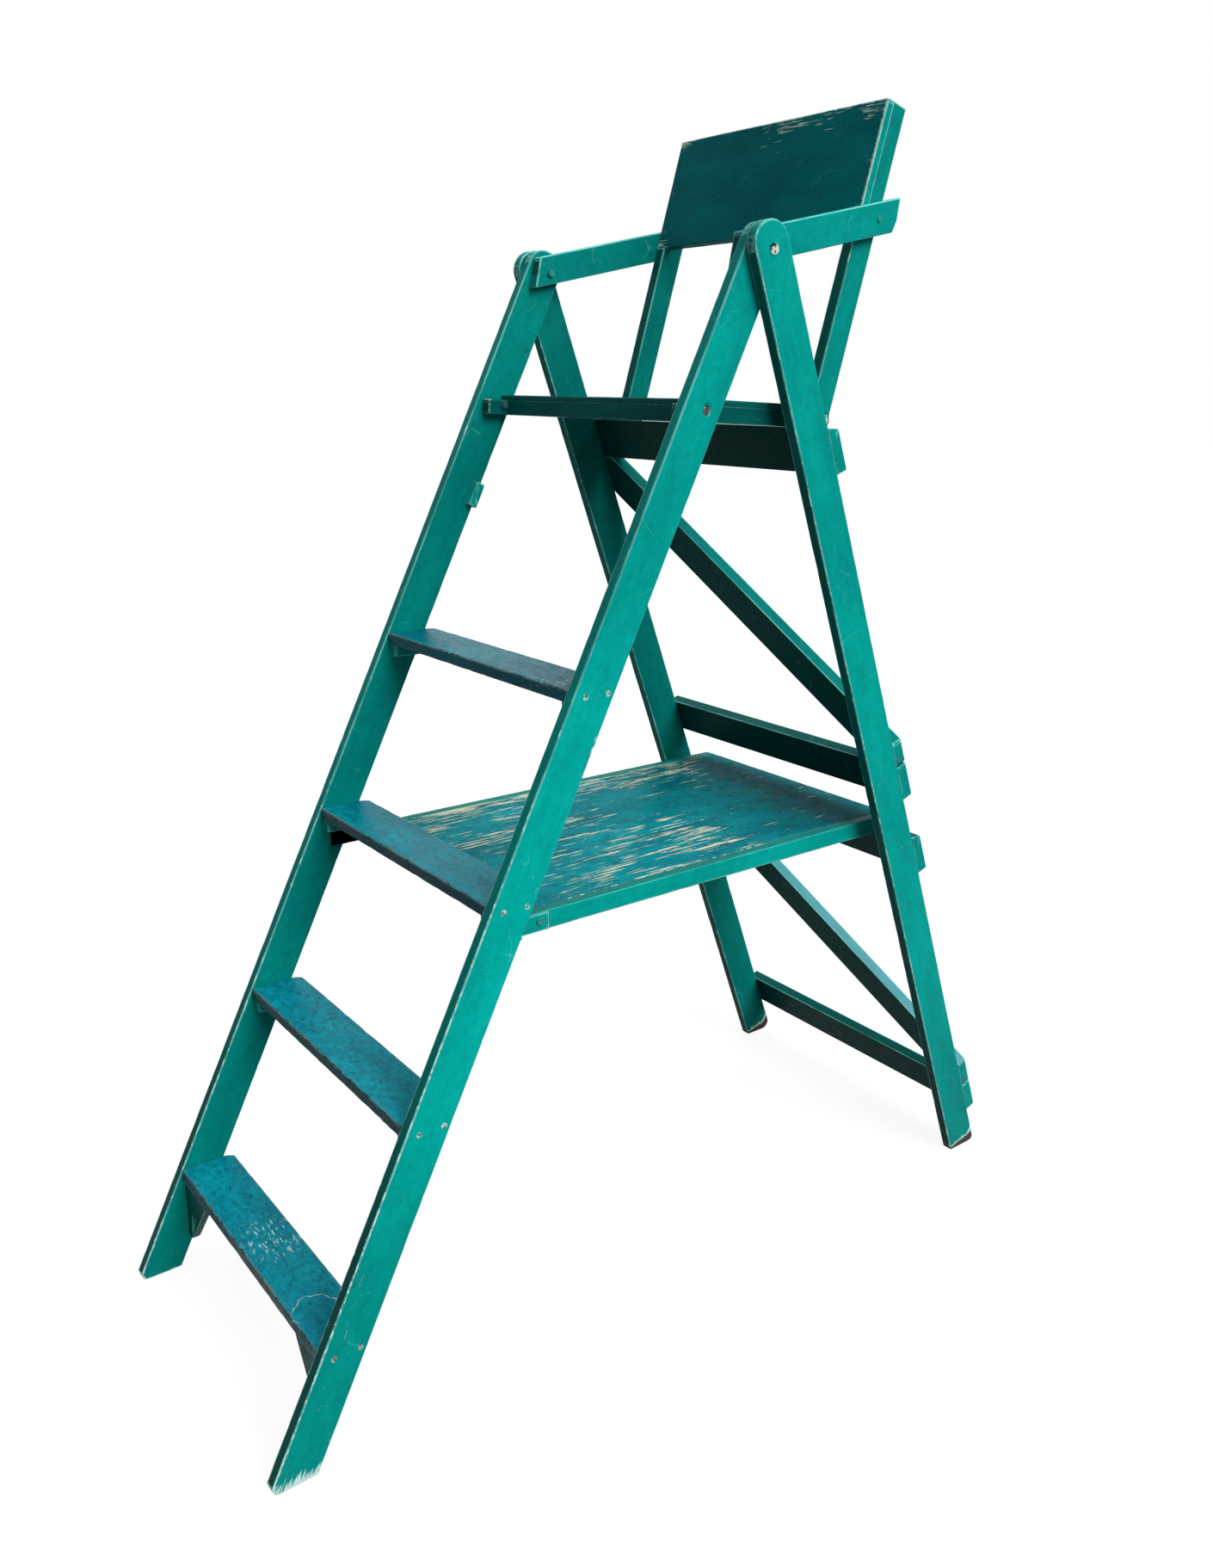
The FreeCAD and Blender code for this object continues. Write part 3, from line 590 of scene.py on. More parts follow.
class Palette:
    """The finishes of the chair, each built once."""

    def __init__(self) -> None:
        """Build every material."""
        self.outer = PaintFinish("frame_gloss", (0, 170, 160), (0, 154, 146), primer=(198, 238, 232),
                                 bare=(78, 72, 70), rub=(138, 238, 232), patchy=0.03, fibre_scale=560.0,
                                 fibre_stretch=0.045, bare_share=0.12).material()
        # The seat's paint is the frame's, darkened as painted shade under the seat board and between the
        # arms.
        self.seat = PaintFinish("seat_gloss", (0, 104, 98), (0, 84, 82), rub=(40, 134, 130),
                                chip_width=0.9).material()
        scratch = grain_spot(TREAD_SEED + 3 * TREAD_SEED_STEP, *ARC_SPOT)
        self.tread = PaintFinish("tread_gloss", (10, 152, 170), (0, 126, 146), primer=(124, 130, 126),
                                 bare=(66, 62, 58), rub=(80, 150, 162), chip_width=2.0, flake=0.01,
                                 scuff=0.35, blotch=0.18, grime=0.46, grime_scale=100.0, bare_share=0.95,
                                 gloss=0.38, specular=0.045, arc_radius=0.031, arc_centre=scratch).material()
        self.deck = PaintFinish("deck_gloss", (4, 160, 170), (0, 130, 142), primer=(232, 236, 208),
                                bare=(196, 200, 168), rub=(60, 156, 162), chip_width=0.5, flake=0.20,
                                patchy=0.05, fibre_scale=230.0, fibre_stretch=0.055, scuff=0.3, blotch=0.10,
                                grime=0.45, bare_share=0.25, gloss=0.40, specular=0.008).material()
        # The back board's paint is darker than the frame's, as painted shade on its front, which faces away
        # from the light.
        self.board = PaintFinish("back_gloss", (0, 122, 126), (0, 104, 110), primer=(200, 228, 216),
                                 bare=(74, 54, 46), rub=(124, 200, 194), chip_width=1.7, flake=0.035,
                                 patchy=0.05, fibre_scale=520.0, fibre_stretch=0.055, fibre_rough=0.45,
                                 bare_share=0.12, specular=0.02).material()
        self.steel = SteelFinish("dull_steel", rust_share=0.05, paint_share=0.0, metal=(206, 212, 208),
                                 paint=(18, 138, 128), painted_within=INNER_WALL, tarnish=1.0).material()
        self.screw = SteelFinish("painted_screw", rust_share=0.05, paint_share=0.4,
                                 metal=(196, 208, 202), tarnish=0.75).material()
        # Painted over in the back board's colour, which carries its painted shade.
        self.hidden_screw = SteelFinish("board_screw", rust_share=0.0, paint_share=1.6,
                                        paint=(0, 100, 104)).material()
        self.covered = SteelFinish("painted_nut", rust_share=0.0, paint_share=2.4,
                                   paint=(18, 138, 128)).material()
        # Seat pivot nuts are painted as dark as the seat rails' painted shade.
        self.dark_nut = SteelFinish("dark_nut", rust_share=0.0, paint_share=2.4, paint=(0, 88, 82)).material()
        self.rusty = SteelFinish("rusty_pin", rust_share=1.0, paint_share=0.0, rust=(104, 60, 52)).material()
        # The sunk bolt's dark patches and dark rust are painted shade in its counterbore; its inner end is
        # painted as dark as the seat rails' painted shade.
        self.sunk = SteelFinish("sunk_bolt", rust_share=0.75, paint_share=0.0, rust=(88, 54, 52),
                                metal=(206, 190, 178), paint=(0, 88, 82), painted_within=INNER_WALL,
                                tarnish=0.9).material()


# Timbers


@dataclass(frozen=True)
class Cut:
    """Plane across a timber's end, by its place along at the middle and its slopes."""

    along: float
    per_across: float = 0.0
    per_through: float = 0.0

    def reach(self, across: float, through: float) -> float:
        """Place along the timber where the plane lies."""
        return self.along + self.per_across * across + self.per_through * through

    @staticmethod
    def between(first: Point2, second: Point2) -> "Cut":
        """Plane through two (along, across) places."""
        slope = (second[0] - first[0]) / (second[1] - first[1])
        return Cut(first[0] - slope * first[1], slope)


@dataclass(frozen=True)
class RoundEnd:
    """Half-round end of a timber."""

    centre: float
    radius: float
    sign: float

    def reach(self, across: float, through: float) -> float:
        """Place along the timber where the round lies."""
        return self.centre + self.sign * math.sqrt(max(self.radius ** 2 - across ** 2, 0.0))


End = Cut | RoundEnd


def paint_layers(mesh: Mesh) -> tuple[Layer, dict[str, Layer]]:
    """Layers that the paint reads, added where a mesh lacks them.

    Args:
        mesh: the mesh under construction.

    Returns:
        The grain layer, and the layers of single numbers by name.
    """
    vectors, floats = mesh.verts.layers.float_vector, mesh.verts.layers.float
    grain = vectors.get("grain") or vectors.new("grain")
    names = ("arris", "wear", "scuff", "shade", "dust")
    return grain, {name: floats.get(name) or floats.new(name) for name in names}


def round_ring(mesh: Mesh, radius: float, height: float, count: int) -> list[Vert]:
    """Level ring of points about Z, in metres."""
    turns = [math.tau * k / count for k in range(count)]
    return [mesh.verts.new((radius * math.cos(turn), radius * math.sin(turn), height)) for turn in turns]


def join_rings(mesh: Mesh, first: Sequence[Vert], second: Sequence[Vert]) -> None:
    """Wall of faces between two rings with the same count of points.

    Args:
        mesh: the mesh under construction.
        first: points of one ring in order.
        second: points of the other ring.
    """
    for k, vert in enumerate(first):
        nxt = (k + 1) % len(first)
        mesh.faces.new((vert, first[nxt], second[nxt], second[k]))


@dataclass(frozen=True)
class Knocks:
    """Dents of one size along the arrises."""

    fineness: Point3
    shift: float
    spared: float
    depth: float

    def at(self, s: float, a: float, t: float, seed: float) -> float:
        """Depth of a dent at a place in a timber with that seed."""
        spot = Vector((s * self.fineness[0], a * self.fineness[1] + seed * self.shift, t * self.fineness[2]))
        return max(hand.noise(spot) - self.spared, 0.0) * self.depth


KNOCKS = (Knocks((0.06, 0.09, 0.2), 7.1, 0.05, 1.6), Knocks((0.23, 0.3, 0.3), 3.3, 0.1, 0.8))


@dataclass
class Timber:
    """A piece of timber with eased, worn arrises, laid along a line of the chair."""

    start: Vector
    along: Vector
    across: Vector
    through: Vector
    section: Sequence[Point2]
    head: Sequence[End]
    foot: Sequence[End]
    ease: float = 1.4
    pitch: float = 11.0
    wear: Optional[PaintMap] = None
    scuff: Optional[PaintMap] = None
    # The shade map paints shade, and painted light where it is negative.
    shade: Optional[PaintMap] = None
    # Pale painted sheen, a reflection on upward faces.
    dust: Optional[PaintMap] = None
    kept: Point3 = (0.0, 1.3, 0.0)
    seed: float = 0.0
    dents: float = 0.3
    turn_grain: bool = False
    profile: list[Point3] = field(default_factory=list)

    SUPPORTS = (1.4, 3.2, 6.5, 13.0, 20.0)
    END_RINGS = (1.6, 4.0, 9.0)
    END_BAND = 12.0
    SHORT = 40
    FAR = 30.0
    CORNER_STEPS = 3
    CORNER_BULGE = 0.58
    WIDE_PITCH = 22
    MOST_PULL = 0.8

    def outline(self) -> None:
        """Walk round the section, close together near each arris."""
        corners = list(self.section)
        count = len(corners)
        loop: list[Point3] = []
        for index, corner in enumerate(corners):
            before = Vector(corners[index - 1])
            here = Vector(corner)
            after = Vector(corners[(index + 1) % count])
            back = (before - here).normalized()
            ahead = (after - here).normalized()
            span = max(abs(back.cross(ahead)), 0.2)
            radius = min(self.ease, 0.3 * min((before - here).length, (after - here).length))
            for step in range(self.CORNER_STEPS + 1):
                part = step / self.CORNER_STEPS
                bulge = 4.0 * part * (1.0 - part) * self.CORNER_BULGE * radius * span
                spot = here + back * radius * (1.0 - part) + ahead * radius * part
                if (here - spot).length > 1e-6:
                    spot = spot + (here - spot).normalized() * bulge * 0.5
                loop.append((spot.x, spot.y, 0.0))
            length = (after - here).length
            marks = [radius + d for d in self.SUPPORTS if radius + d < length / 2.0 - 0.6]
            steps = marks + [length / 2.0] + [length - mark for mark in reversed(marks)]
            wide = int(length // self.WIDE_PITCH)
            if wide > 3:
                inside = [marks[-1] + (length - 2 * marks[-1]) * (k + 1) / (wide + 1) for k in range(wide)]
                steps = marks + inside + [length - mark for mark in reversed(marks)]
            for step in steps:
                spot = here + ahead * step
                loop.append((spot.x, spot.y, min(step, length - step) - radius * 0.6))
        low = min(range(len(loop)), key=lambda k: (round(loop[k][0], 3), abs(loop[k][1] - self.middle()[1])))
        self.profile = loop[low:] + loop[:low]

    def middle(self) -> Point2:
        """Middle of the section's box."""
        xs, ys = zip(*self.section)
        return ((min(xs) + max(xs)) / 2.0, (min(ys) + max(ys)) / 2.0)

    def half(self) -> Point2:
        """Half sizes of the section's box."""
        xs, ys = zip(*self.section)
        return ((max(xs) - min(xs)) / 2.0, (max(ys) - min(ys)) / 2.0)

    def rings(self) -> list[tuple[str, float, float, float]]:
        """Rings from end to end as (end, offset or part, inset, distance from the end's arris).

        Returns:
            The rings in order from head to foot.
        """
        ease = self.ease
        near = [(0.0, ease + 2.6, 2.6), (0.0, ease * 0.9, 0.2),
                (ease * 0.35, ease * 0.3, 0.0), (ease, 0.0, 0.2)]
        near += [(ease + d, 0.0, d) for d in self.END_RINGS]
        low, high = self.ends(*self.middle())
        span = high - low
        count = max(2, int(span / self.pitch))
        listed = [("head", off, inset, dist) for off, inset, dist in near if off < span * 0.4]
        listed += [("part", k / count, 0.0, self.FAR) for k in range(1, count)]
        listed += [("foot", off, inset, dist) for off, inset, dist in reversed(near) if off < span * 0.4]
        return listed

    def ends(self, a: float, t: float) -> Point2:
        """Where the timber starts and ends on a line along it."""
        return max(h.reach(a, t) for h in self.head), min(f.reach(a, t) for f in self.foot)

    def fill(self, mesh: Mesh) -> None:
        """Add the timber to a mesh.

        Args:
            mesh: the mesh under construction, which gets the attribute layers.
        """
        self.outline()
        grain, maps = paint_layers(mesh)
        centre = self.middle()
        half = self.half()
        rows: list[list[Vert]] = []
        skew = Vector([self.seed * part for part in GRAIN_SKEW])
        for end, value, inset, gap in self.rings():
            row = []
            for a, t, side in self.profile:
                low, high = self.ends(a, t)
                if end == "head":
                    s = low + value
                elif end == "foot":
                    s = high - value
                elif high - low > self.SHORT:
                    s = low + self.END_BAND * (1 - value) + (high - self.END_BAND * value - low) * value
                else:
                    s = low + (high - low) * value
                near = min(abs(s - low), abs(high - s)) if end == "part" else gap
                bite = 0.0
                if side < 1.0 or near < 0.5:
                    bite = self.dents * sum(knocks.at(s, a, t, self.seed) for knocks in KNOCKS)
                pull_a = 1.0 - min((inset + bite) / half[0], self.MOST_PULL)
                pull_t = 1.0 - min((inset + bite) / half[1], self.MOST_PULL)
                aa = centre[0] + (a - centre[0]) * pull_a
                tt = centre[1] + (t - centre[1]) * pull_t
                if end == "head":
                    s = self.ends(aa, tt)[0] + value
                elif end == "foot":
                    s = self.ends(aa, tt)[1] - value
                spot = self.start + self.along * s + self.across * aa + self.through * tt
                vert = mesh.verts.new(metres(spot))
                parts = (s, aa, tt) if not self.turn_grain else (aa, s, tt)
                vert[grain] = Vector(parts) * MM + skew
                spared = self.kept[int(a > centre[0])] if side < 1.0 else self.kept[2] if near < 1.0 else 0.0
                vert[maps["arris"]] = (max(min(side, near), 0.0) + spared) * MM
                vert[maps["wear"]] = self.wear(s, aa, tt) if self.wear else 0.0
                vert[maps["scuff"]] = self.scuff(s, aa, tt) if self.scuff else 0.0
                vert[maps["shade"]] = self.shade(s, a, t) if self.shade else 0.0
                vert[maps["dust"]] = self.dust(s, a, t) if self.dust else 0.0
                row.append(vert)
            rows.append(row)
        for first, second in zip(rows, rows[1:]):
            join_rings(mesh, first, second)
        for row, flip in ((rows[0], True), (rows[-1], False)):
            self.cap(mesh, row, flip)

    @staticmethod
    def cap(mesh: Mesh, row: list[Vert], flip: bool) -> None:
        """Close an end with a strip of faces between its two long sides.

        Args:
            mesh: the mesh under construction.
            row: points of the end.
            flip: whether the faces look back along the timber.
        """
        low, high = 0, len(row) - 1
        while high - low > 1:
            ring = [row[low], row[low + 1], row[high]] if high - low == 2 else \
                [row[low], row[low + 1], row[high - 1], row[high]]
            mesh.faces.new(list(reversed(ring)) if flip else ring)
            low, high = low + 1, high - 1


def added(name: str, data: Optional[bpy.types.ID]) -> Piece:
    """New object, linked to the scene.

    Args:
        name: name of the object.
        data: its mesh, lamp or camera.

    Returns:
        The object.
    """
    made = bpy.data.objects.new(name, data)
    bpy.context.scene.collection.objects.link(made)
    return made


def make_object(name: str, mesh: Mesh, material: Material) -> Piece:
    """Turn a finished bmesh into a smooth-shaded object at the origin.

    Args:
        name: name of the piece.
        mesh: its geometry, which is freed.
        material: its only material.

    Returns:
        The object, linked to the scene.
    """
    bmesh.ops.recalc_face_normals(mesh, faces=mesh.faces)
    data = bpy.data.meshes.new(name)
    mesh.to_mesh(data)
    mesh.free()
    for face in data.polygons:
        face.use_smooth = True
    data.materials.append(material)
    return added(name, data)


def timber_piece(name: str, timbers: Iterable[Timber], material: Material) -> Piece:
    """One object from one or more timbers.

    Args:
        name: name of the piece.
        timbers: its timbers.
        material: their finish.

    Returns:
        The object.
    """
    mesh = bmesh.new()
    for timber in timbers:
        timber.fill(mesh)
    return make_object(name, mesh, material)


def carve(piece: Piece, cutter: Mesh) -> None:
    """Take a solid away from a piece.

    Args:
        piece: object that keeps its name and gets a new mesh.
        cutter: the solid, which is freed.
    """
    tool = make_object(piece.name + "_cutter", cutter, piece.data.materials[0])
    cut = piece.modifiers.new("carve", "BOOLEAN")
    cut.operation = "DIFFERENCE"
    cut.solver = "EXACT"
    cut.object = tool
    bpy.context.view_layer.update()
    graph = bpy.context.evaluated_depsgraph_get()
    data = bpy.data.meshes.new_from_object(piece.evaluated_get(graph), depsgraph=graph)
    piece.modifiers.remove(cut)
    piece.data = data
    data.name = piece.name
    bpy.data.objects.remove(tool)


BORE_SIDES = 32
BORE_ARRIS = 4.0


def disc_solid(radius: float, low: float, high: float, y: float, z: float) -> Mesh:
    """Round cutter along X with the attributes that the paint reads.

    Args:
        radius: radius in mm.
        low: where it starts across the chair.
        high: where it ends.
        y: place of its middle behind the axis.
        z: height of its middle.

    Returns:
        The cutter.
    """
    mesh = bmesh.new()
    grain, maps = paint_layers(mesh)
    rings = []
    for x in (low, high):
        ring = []
        for step in range(BORE_SIDES):
            turn = math.tau * step / BORE_SIDES
            spot = Vector((x, y + radius * math.cos(turn), z + radius * math.sin(turn)))
            vert = mesh.verts.new(metres(spot))
            vert[grain] = vert.co.copy()
            vert[maps["arris"]] = BORE_ARRIS * MM
            ring.append(vert)
        rings.append(ring)
    join_rings(mesh, rings[0], rings[1])
    mesh.faces.new(rings[0])
    mesh.faces.new(rings[1])
    return mesh


def settle(piece: Piece, body: str, slot: Slot, *nodes: str) -> None:
    """Tie a finished piece to its body, and hide the nodes that it stands for.

    Args:
        piece: the finished object.
        body: body that it rides on.
        slot: its material slot; not used.
        nodes: nodes that it stands for.
    """
    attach(piece, body)
    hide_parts(*nodes)
    LOG.info("%s rides on %s for %s", piece.name, body, ", ".join(nodes))


FACE_SLACK = 0.05


def inner_face(side: Side, thick: float, depth: float = 1.0) -> PaintMap:
    """Painted shade on the face of an upright that looks at the chair's middle."""
    return lambda s, a, t: depth if -t * side.value > thick / 2 - FACE_SLACK else 0.0


def front_and_top(width: float, thick: float, front: float, top: float) -> PaintMap:
    """Painted shade on the front face and the upper edge of a rail or brace."""
    face, edge = -thick / 2 + FACE_SLACK, -width / 2 + FACE_SLACK
    return lambda s, a, t: front if t < face else top if a < edge else 0.0


def box_section(across: float, through: float) -> list[Point2]:
    """Rectangle about the middle."""
    return [(-across / 2, -through / 2), (across / 2, -through / 2),
            (across / 2, through / 2), (-across / 2, through / 2)]


def leaning(start: Point2, angle: float, down: float, rear: float) -> Point2:
    """Place down a leaning timber and behind its middle."""
    return (start[0] + down * math.sin(angle) + rear * math.cos(angle),
            start[1] - down * math.cos(angle) + rear * math.sin(angle))


def rising(turn: float) -> tuple[Vector, Vector]:
    """Direction that rises rearwards by an angle, and the way up from it."""
    return Vector((0, math.cos(turn), math.sin(turn))), Vector((0, -math.sin(turn), math.cos(turn)))


def falling(lean: float) -> tuple[Vector, Vector]:
    """Direction down a line that leans rearwards by an angle, and the way behind it."""
    return Vector((0, math.sin(lean), -math.cos(lean))), Vector((0, math.cos(lean), math.sin(lean)))


def down_to_height(start: Point2, angle: float, height: float, rear: float) -> float:
    """Distance down a leaning timber to a height on the line behind its middle."""
    return (start[1] - height + rear * math.sin(angle)) / math.cos(angle)


def sloping(start: Point2, slope: float, along: float, above: float) -> Point2:
    """Place along a bar that rises rearwards by `slope` degrees, and above its line.

    Args:
        start: start of the bar's line.
        slope: rise in degrees.
        along, above: distances from the start.

    Returns:
        The place as (y, z).
    """
    turn = math.radians(slope)
    return (start[0] + along * math.cos(turn) - above * math.sin(turn),
            start[1] + along * math.sin(turn) + above * math.cos(turn))


def block(points: Sequence[Point2], low: float, high: float, along: Vector = X, **settings: object) -> Timber:
    """Block drawn by its outline seen along X or Y, and laid along that direction.

    Args:
        points: corners of the outline all round, as (y, z) for X and (x, z) for Y.
        low: where it starts.
        high: where it ends.
        along: X or Y.
        settings: further fields of the timber.

    Returns:
        The timber, ready to be filled into a mesh.
    """
    middle = (sum(p[0] for p in points) / len(points), sum(p[1] for p in points) / len(points))
    section = [(p[0] - middle[0], p[1] - middle[1]) for p in points]
    across = Y if along is X else X
    return Timber(along * low + across * middle[0] + Z * middle[1], along, across, Z, section,
                  [Cut(0.0)], [Cut(high - low)], **settings)


def packed_edge(node: str, part: int, high: bool) -> float:
    """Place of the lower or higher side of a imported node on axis 0, 1 or 2, in mm about the axis."""
    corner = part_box(node)[1 if high else 0]
    return (corner[part] - ORIGIN.y * (part == 1)) / MM


AXIS: Point2 = (0.0, AXIS_HEIGHT)


@dataclass
class FrontLadder:
    """Two stiles with four treads, their cleats, bump blocks and platform bearers."""

    paint: Palette
    run: float = 764.3
    width: float = 63.0
    thick: float = 18.0
    outer: float = 270.0
    round_centre: float = -7.0
    foot_chamfer: float = 11.0
    tread_heights: tuple[float, ...] = (1009.0, 735.0, 455.0, 174.0)
    tread_names: tuple[str, ...] = ("top", "upper", "lower", "bottom")
    tread_depth: float = 84.0
    # Painted shade, and painted light where negative, on each tread from the top.
    tread_shades: tuple[float, ...] = (0.75, 0.1, -0.1, -0.2)
    cleat_thick: float = 18.0
    gusset_reach: dict[Side, float] = field(default_factory=lambda: {Side.LEFT: 71.0, Side.RIGHT: 97.0})
    gusset_tip: dict[Side, float] = field(default_factory=lambda: {Side.LEFT: 5.0, Side.RIGHT: 18.0})
    gusset_drop: float = 100.0
    gusset_thick: float = 13.0
    gusset_behind: float = 1.0
    seat_pivot: Point2 = (-93.0, 1367.0)
    platform_pivot: Point2 = (-349.0, 686.0)
    platform_top: float = 697.0
    counterbore_radius: float = 7.0
    counterbore_depth: float = 5.0
    cutter_past: float = 3.0
    block_start: float = 358.0
    block_length: float = 41.0
    block_depth: float = 15.5
    block_thick: float = 12.0
    block_reach: float = 1.5
    cleat_inset: float = 3.0
    cleat_length: float = 57.0
    cleat_height: float = 20.0
    tread_corner: Point2 = (9.0, 12.0)
    bearer_front: float = -86.0
    bearer_low: float = 26.0
    bearer_steps: tuple[Point2, ...] = ((-36.0, 0.0), (15.0, 10.0))
    bearer_thick: float = 14.0
    # Bands of wear, in mm: up from the foot, then down the stile as start, full, fading and end.
    bare_foot: Point2 = (40.0, 2.0)
    streaked_foot: Point2 = (120.0, 20.0)
    streaked_middle: tuple[float, float, float, float] = (650.0, 690.0, 740.0, 790.0)
    streak_band: Point2 = (16.0, 2.0)
    # Painted light down the middle of the left stile's outer face, as start, full, fading and end, then
    # painted shade growing on that face between two places towards its foot.
    bright_face: tuple[float, float, float, float] = (350.0, 750.0, 1000.0, 1450.0)
    dull_face: Point2 = (1250.0, 1650.0)
    scraped_spots: dict[str, Point3] = field(
        default_factory=lambda: {"bottom": (252.0, 5.0, 56.0), "top": (444.0, -12.0, 42.0)})

    @property
    def angle(self) -> float:
        """Lean of the stiles, negative towards the front."""
        return -math.atan2(self.run, AXIS_HEIGHT)

    @property
    def inner(self) -> float:
        """Half distance between the stiles."""
        return self.outer - self.thick

    def front_edge(self, height: float) -> float:
        """Y of the stiles' front edge at a height."""
        down = down_to_height(AXIS, self.angle, height, -self.width / 2)
        return leaning(AXIS, self.angle, down, -self.width / 2)[0]

    def stile(self, side: Side) -> Timber:
        """One stile, from its round head to its level foot.

        Args:
            side: side of the chair.

        Returns:
            The timber.
        """
        angle = self.angle
        half = self.width / 2
        floor = Cut(AXIS_HEIGHT / math.cos(angle), math.tan(angle))
        high = (down_to_height(AXIS, angle, self.foot_chamfer, -half), -half)
        toe = self.front_edge(0.0) + self.foot_chamfer
        low = (-toe * math.sin(-angle) + AXIS_HEIGHT * math.cos(angle),
               toe * math.cos(angle) - AXIS_HEIGHT * math.sin(angle))
        length = AXIS_HEIGHT / math.cos(angle)

        def wear(s: float, a: float, t: float) -> float:
            """Bare at the foot, rubbed along the front of the lower half.

            Args:
                s, a, t: place in the timber, in mm.

            Returns:
                Share of wear.
            """
            near = 1.0 if side is Side.LEFT else 0.5
            end = floor.reach(a, 0.0)
            teeth = smooth(end - self.bare_foot[0], end - self.bare_foot[1], s) * 1.25
            rear = smooth(half - self.streak_band[0], half - self.streak_band[1], a)
            low = smooth(end - self.streaked_foot[0], end - self.streaked_foot[1], s)
            first, full, fading, last = self.streaked_middle
            streaks = max(low, smooth(first, full, s) * smooth(last, fading, s)) * rear * 0.75
            front = smooth(length * 0.3, length * 0.85, s) * (0.5 * near if a < 0 else 0.04)
            return max(teeth * near, streaks * near, front)

        def shade(s: float, a: float, t: float) -> float:
            """Painted shade on the front edge, growing towards the foot, and on the inner face; painted light
            and shade down the left stile's outer face.

            Args:
                s, a, t: place in the timber, in mm.

            Returns:
                Share of darkening.
            """
            if a < -half + FACE_SLACK:
                return 0.8 + smooth(length * 0.55, length * 0.85, s) * 1.15
            if side is Side.LEFT and t > self.thick / 2 - FACE_SLACK:
                first, full, fading, last = self.bright_face
                bright = smooth(first, full, s) * smooth(last, fading, s)
                return smooth(*self.dull_face, s) * 0.6 - bright * 0.5
            return inner_face(side, self.thick, 0.7)(s, a, t)

        return Timber(
            Vector((side.value * (self.outer - self.thick / 2), *AXIS)),
            *falling(angle), X, box_section(self.width, self.thick),
            [RoundEnd(self.round_centre, half, -1.0)], [floor, Cut.between(high, low)],
            wear=wear, shade=shade, seed=1.0 + side.value * 0.5)

    def build(self) -> None:
        """Make every timber of the ladder."""
        for side in Side:
            piece = timber_piece("stile_" + side.word, [self.stile(side)], self.paint.outer)
            ends = side.span(self.outer - self.counterbore_depth, self.outer + self.cutter_past)
            carve(piece, disc_solid(self.counterbore_radius, *ends, *self.seat_pivot))
            settle(piece, "ladder", Slot.FRAME, "front_stile_" + side.word)
            for name, height in zip(self.tread_names, self.tread_heights):
                self.cleat(side, name, height)
            self.blocks(side)
        for index, (name, height) in enumerate(zip(self.tread_names, self.tread_heights)):
            self.tread(index, name, height)

    def tread(self, index: int, name: str, height: float) -> None:
        """One flat tread, worn in the middle of its front arris.

        Args:
            index: number of the tread from the top.
            name: its name.
            height: height of its upper face.
        """
        front = self.front_edge(height)
        start = Vector((-self.inner, front + self.tread_depth / 2, height - self.thick / 2))

        def wear(s: float, a: float, t: float) -> float:
            """Rubbed along both long arrises and trodden in the middle.

            Args:
                s, a, t: place in the timber, in mm.

            Returns:
                Share of wear.
            """
            trodden = smooth(0.85, 0.1, abs(s - self.inner) / self.inner) * 0.10
            near = 0.22 * smooth(1.5 * self.inner, 1.95 * self.inner, s) if index == 0 else 0.0
            edge = 0.22 if a < -self.tread_depth / 2 + 5 else 0.12 if a > self.tread_depth / 2 - 3 else 0.0
            return trodden + edge + near

        def scuff(s: float, a: float, t: float) -> float:
            """Pale scrapes of shoes on the lowest and the highest tread.

            Args:
                s, a, t: place in the timber, in mm.

            Returns:
                Share of scrapes.
            """
            if name not in self.scraped_spots or t < 0:
                return 0.0
            along, across, radius = self.scraped_spots[name]
            return smooth(radius, radius / 4, math.hypot((s - along) * 0.7, a - across)) * 0.95

        def shade(s: float, a: float, t: float) -> float:
            """Painted shade on the front face; elsewhere painted shade and light set by the tread, lighter
            downwards, with more shade at the left end of the top tread.

            Args:
                s, a, t: place in the timber, in mm.

            Returns:
                Share of darkening.
            """
            if a < -self.tread_depth / 2 + FACE_SLACK:
                return 1.35 if index == 0 else 1.9
            far = smooth(1.5 * self.inner, 2 * self.inner, s) if index == 0 else 0.0
            return self.tread_shades[index] + 0.5 * far

        half, width = self.tread_depth / 2, 2 * self.inner
        long, deep = self.tread_corner
        heads = [Cut(0.0), Cut.between((long, half), (0.0, half - deep))]
        feet = [Cut(width), Cut.between((width - long, half), (width, half - deep))]
        timber = Timber(start, X, Y, Z, box_section(self.tread_depth, self.thick), heads, feet,
                        ease=2.0, wear=wear, scuff=scuff, shade=shade, kept=(0.0, 0.2, 0.0), dents=0.5,
                        seed=TREAD_SEED + index * TREAD_SEED_STEP)
        settle(timber_piece("tread_board_" + name, [timber], self.paint.tread),
               "ladder", Slot.TREAD, "tread_" + name)

    def cleat(self, side: Side, name: str, height: float) -> None:
        """Cleat under a tread's end.

        Args:
            side: side of the chair.
            name: name of the tread.
            height: height of its upper face.
        """
        front = self.front_edge(height)
        low = height - self.thick
        seed = height * 0.01 + side.value
        if name == "bottom":
            reach, tip = self.gusset_reach[side], self.gusset_tip[side]
            points = [(side.value * (self.inner - x), low - z)
                      for x, z in ((0, 0), (reach, 0), (tip, self.gusset_drop), (0, self.gusset_drop))]
            start = front + self.gusset_behind
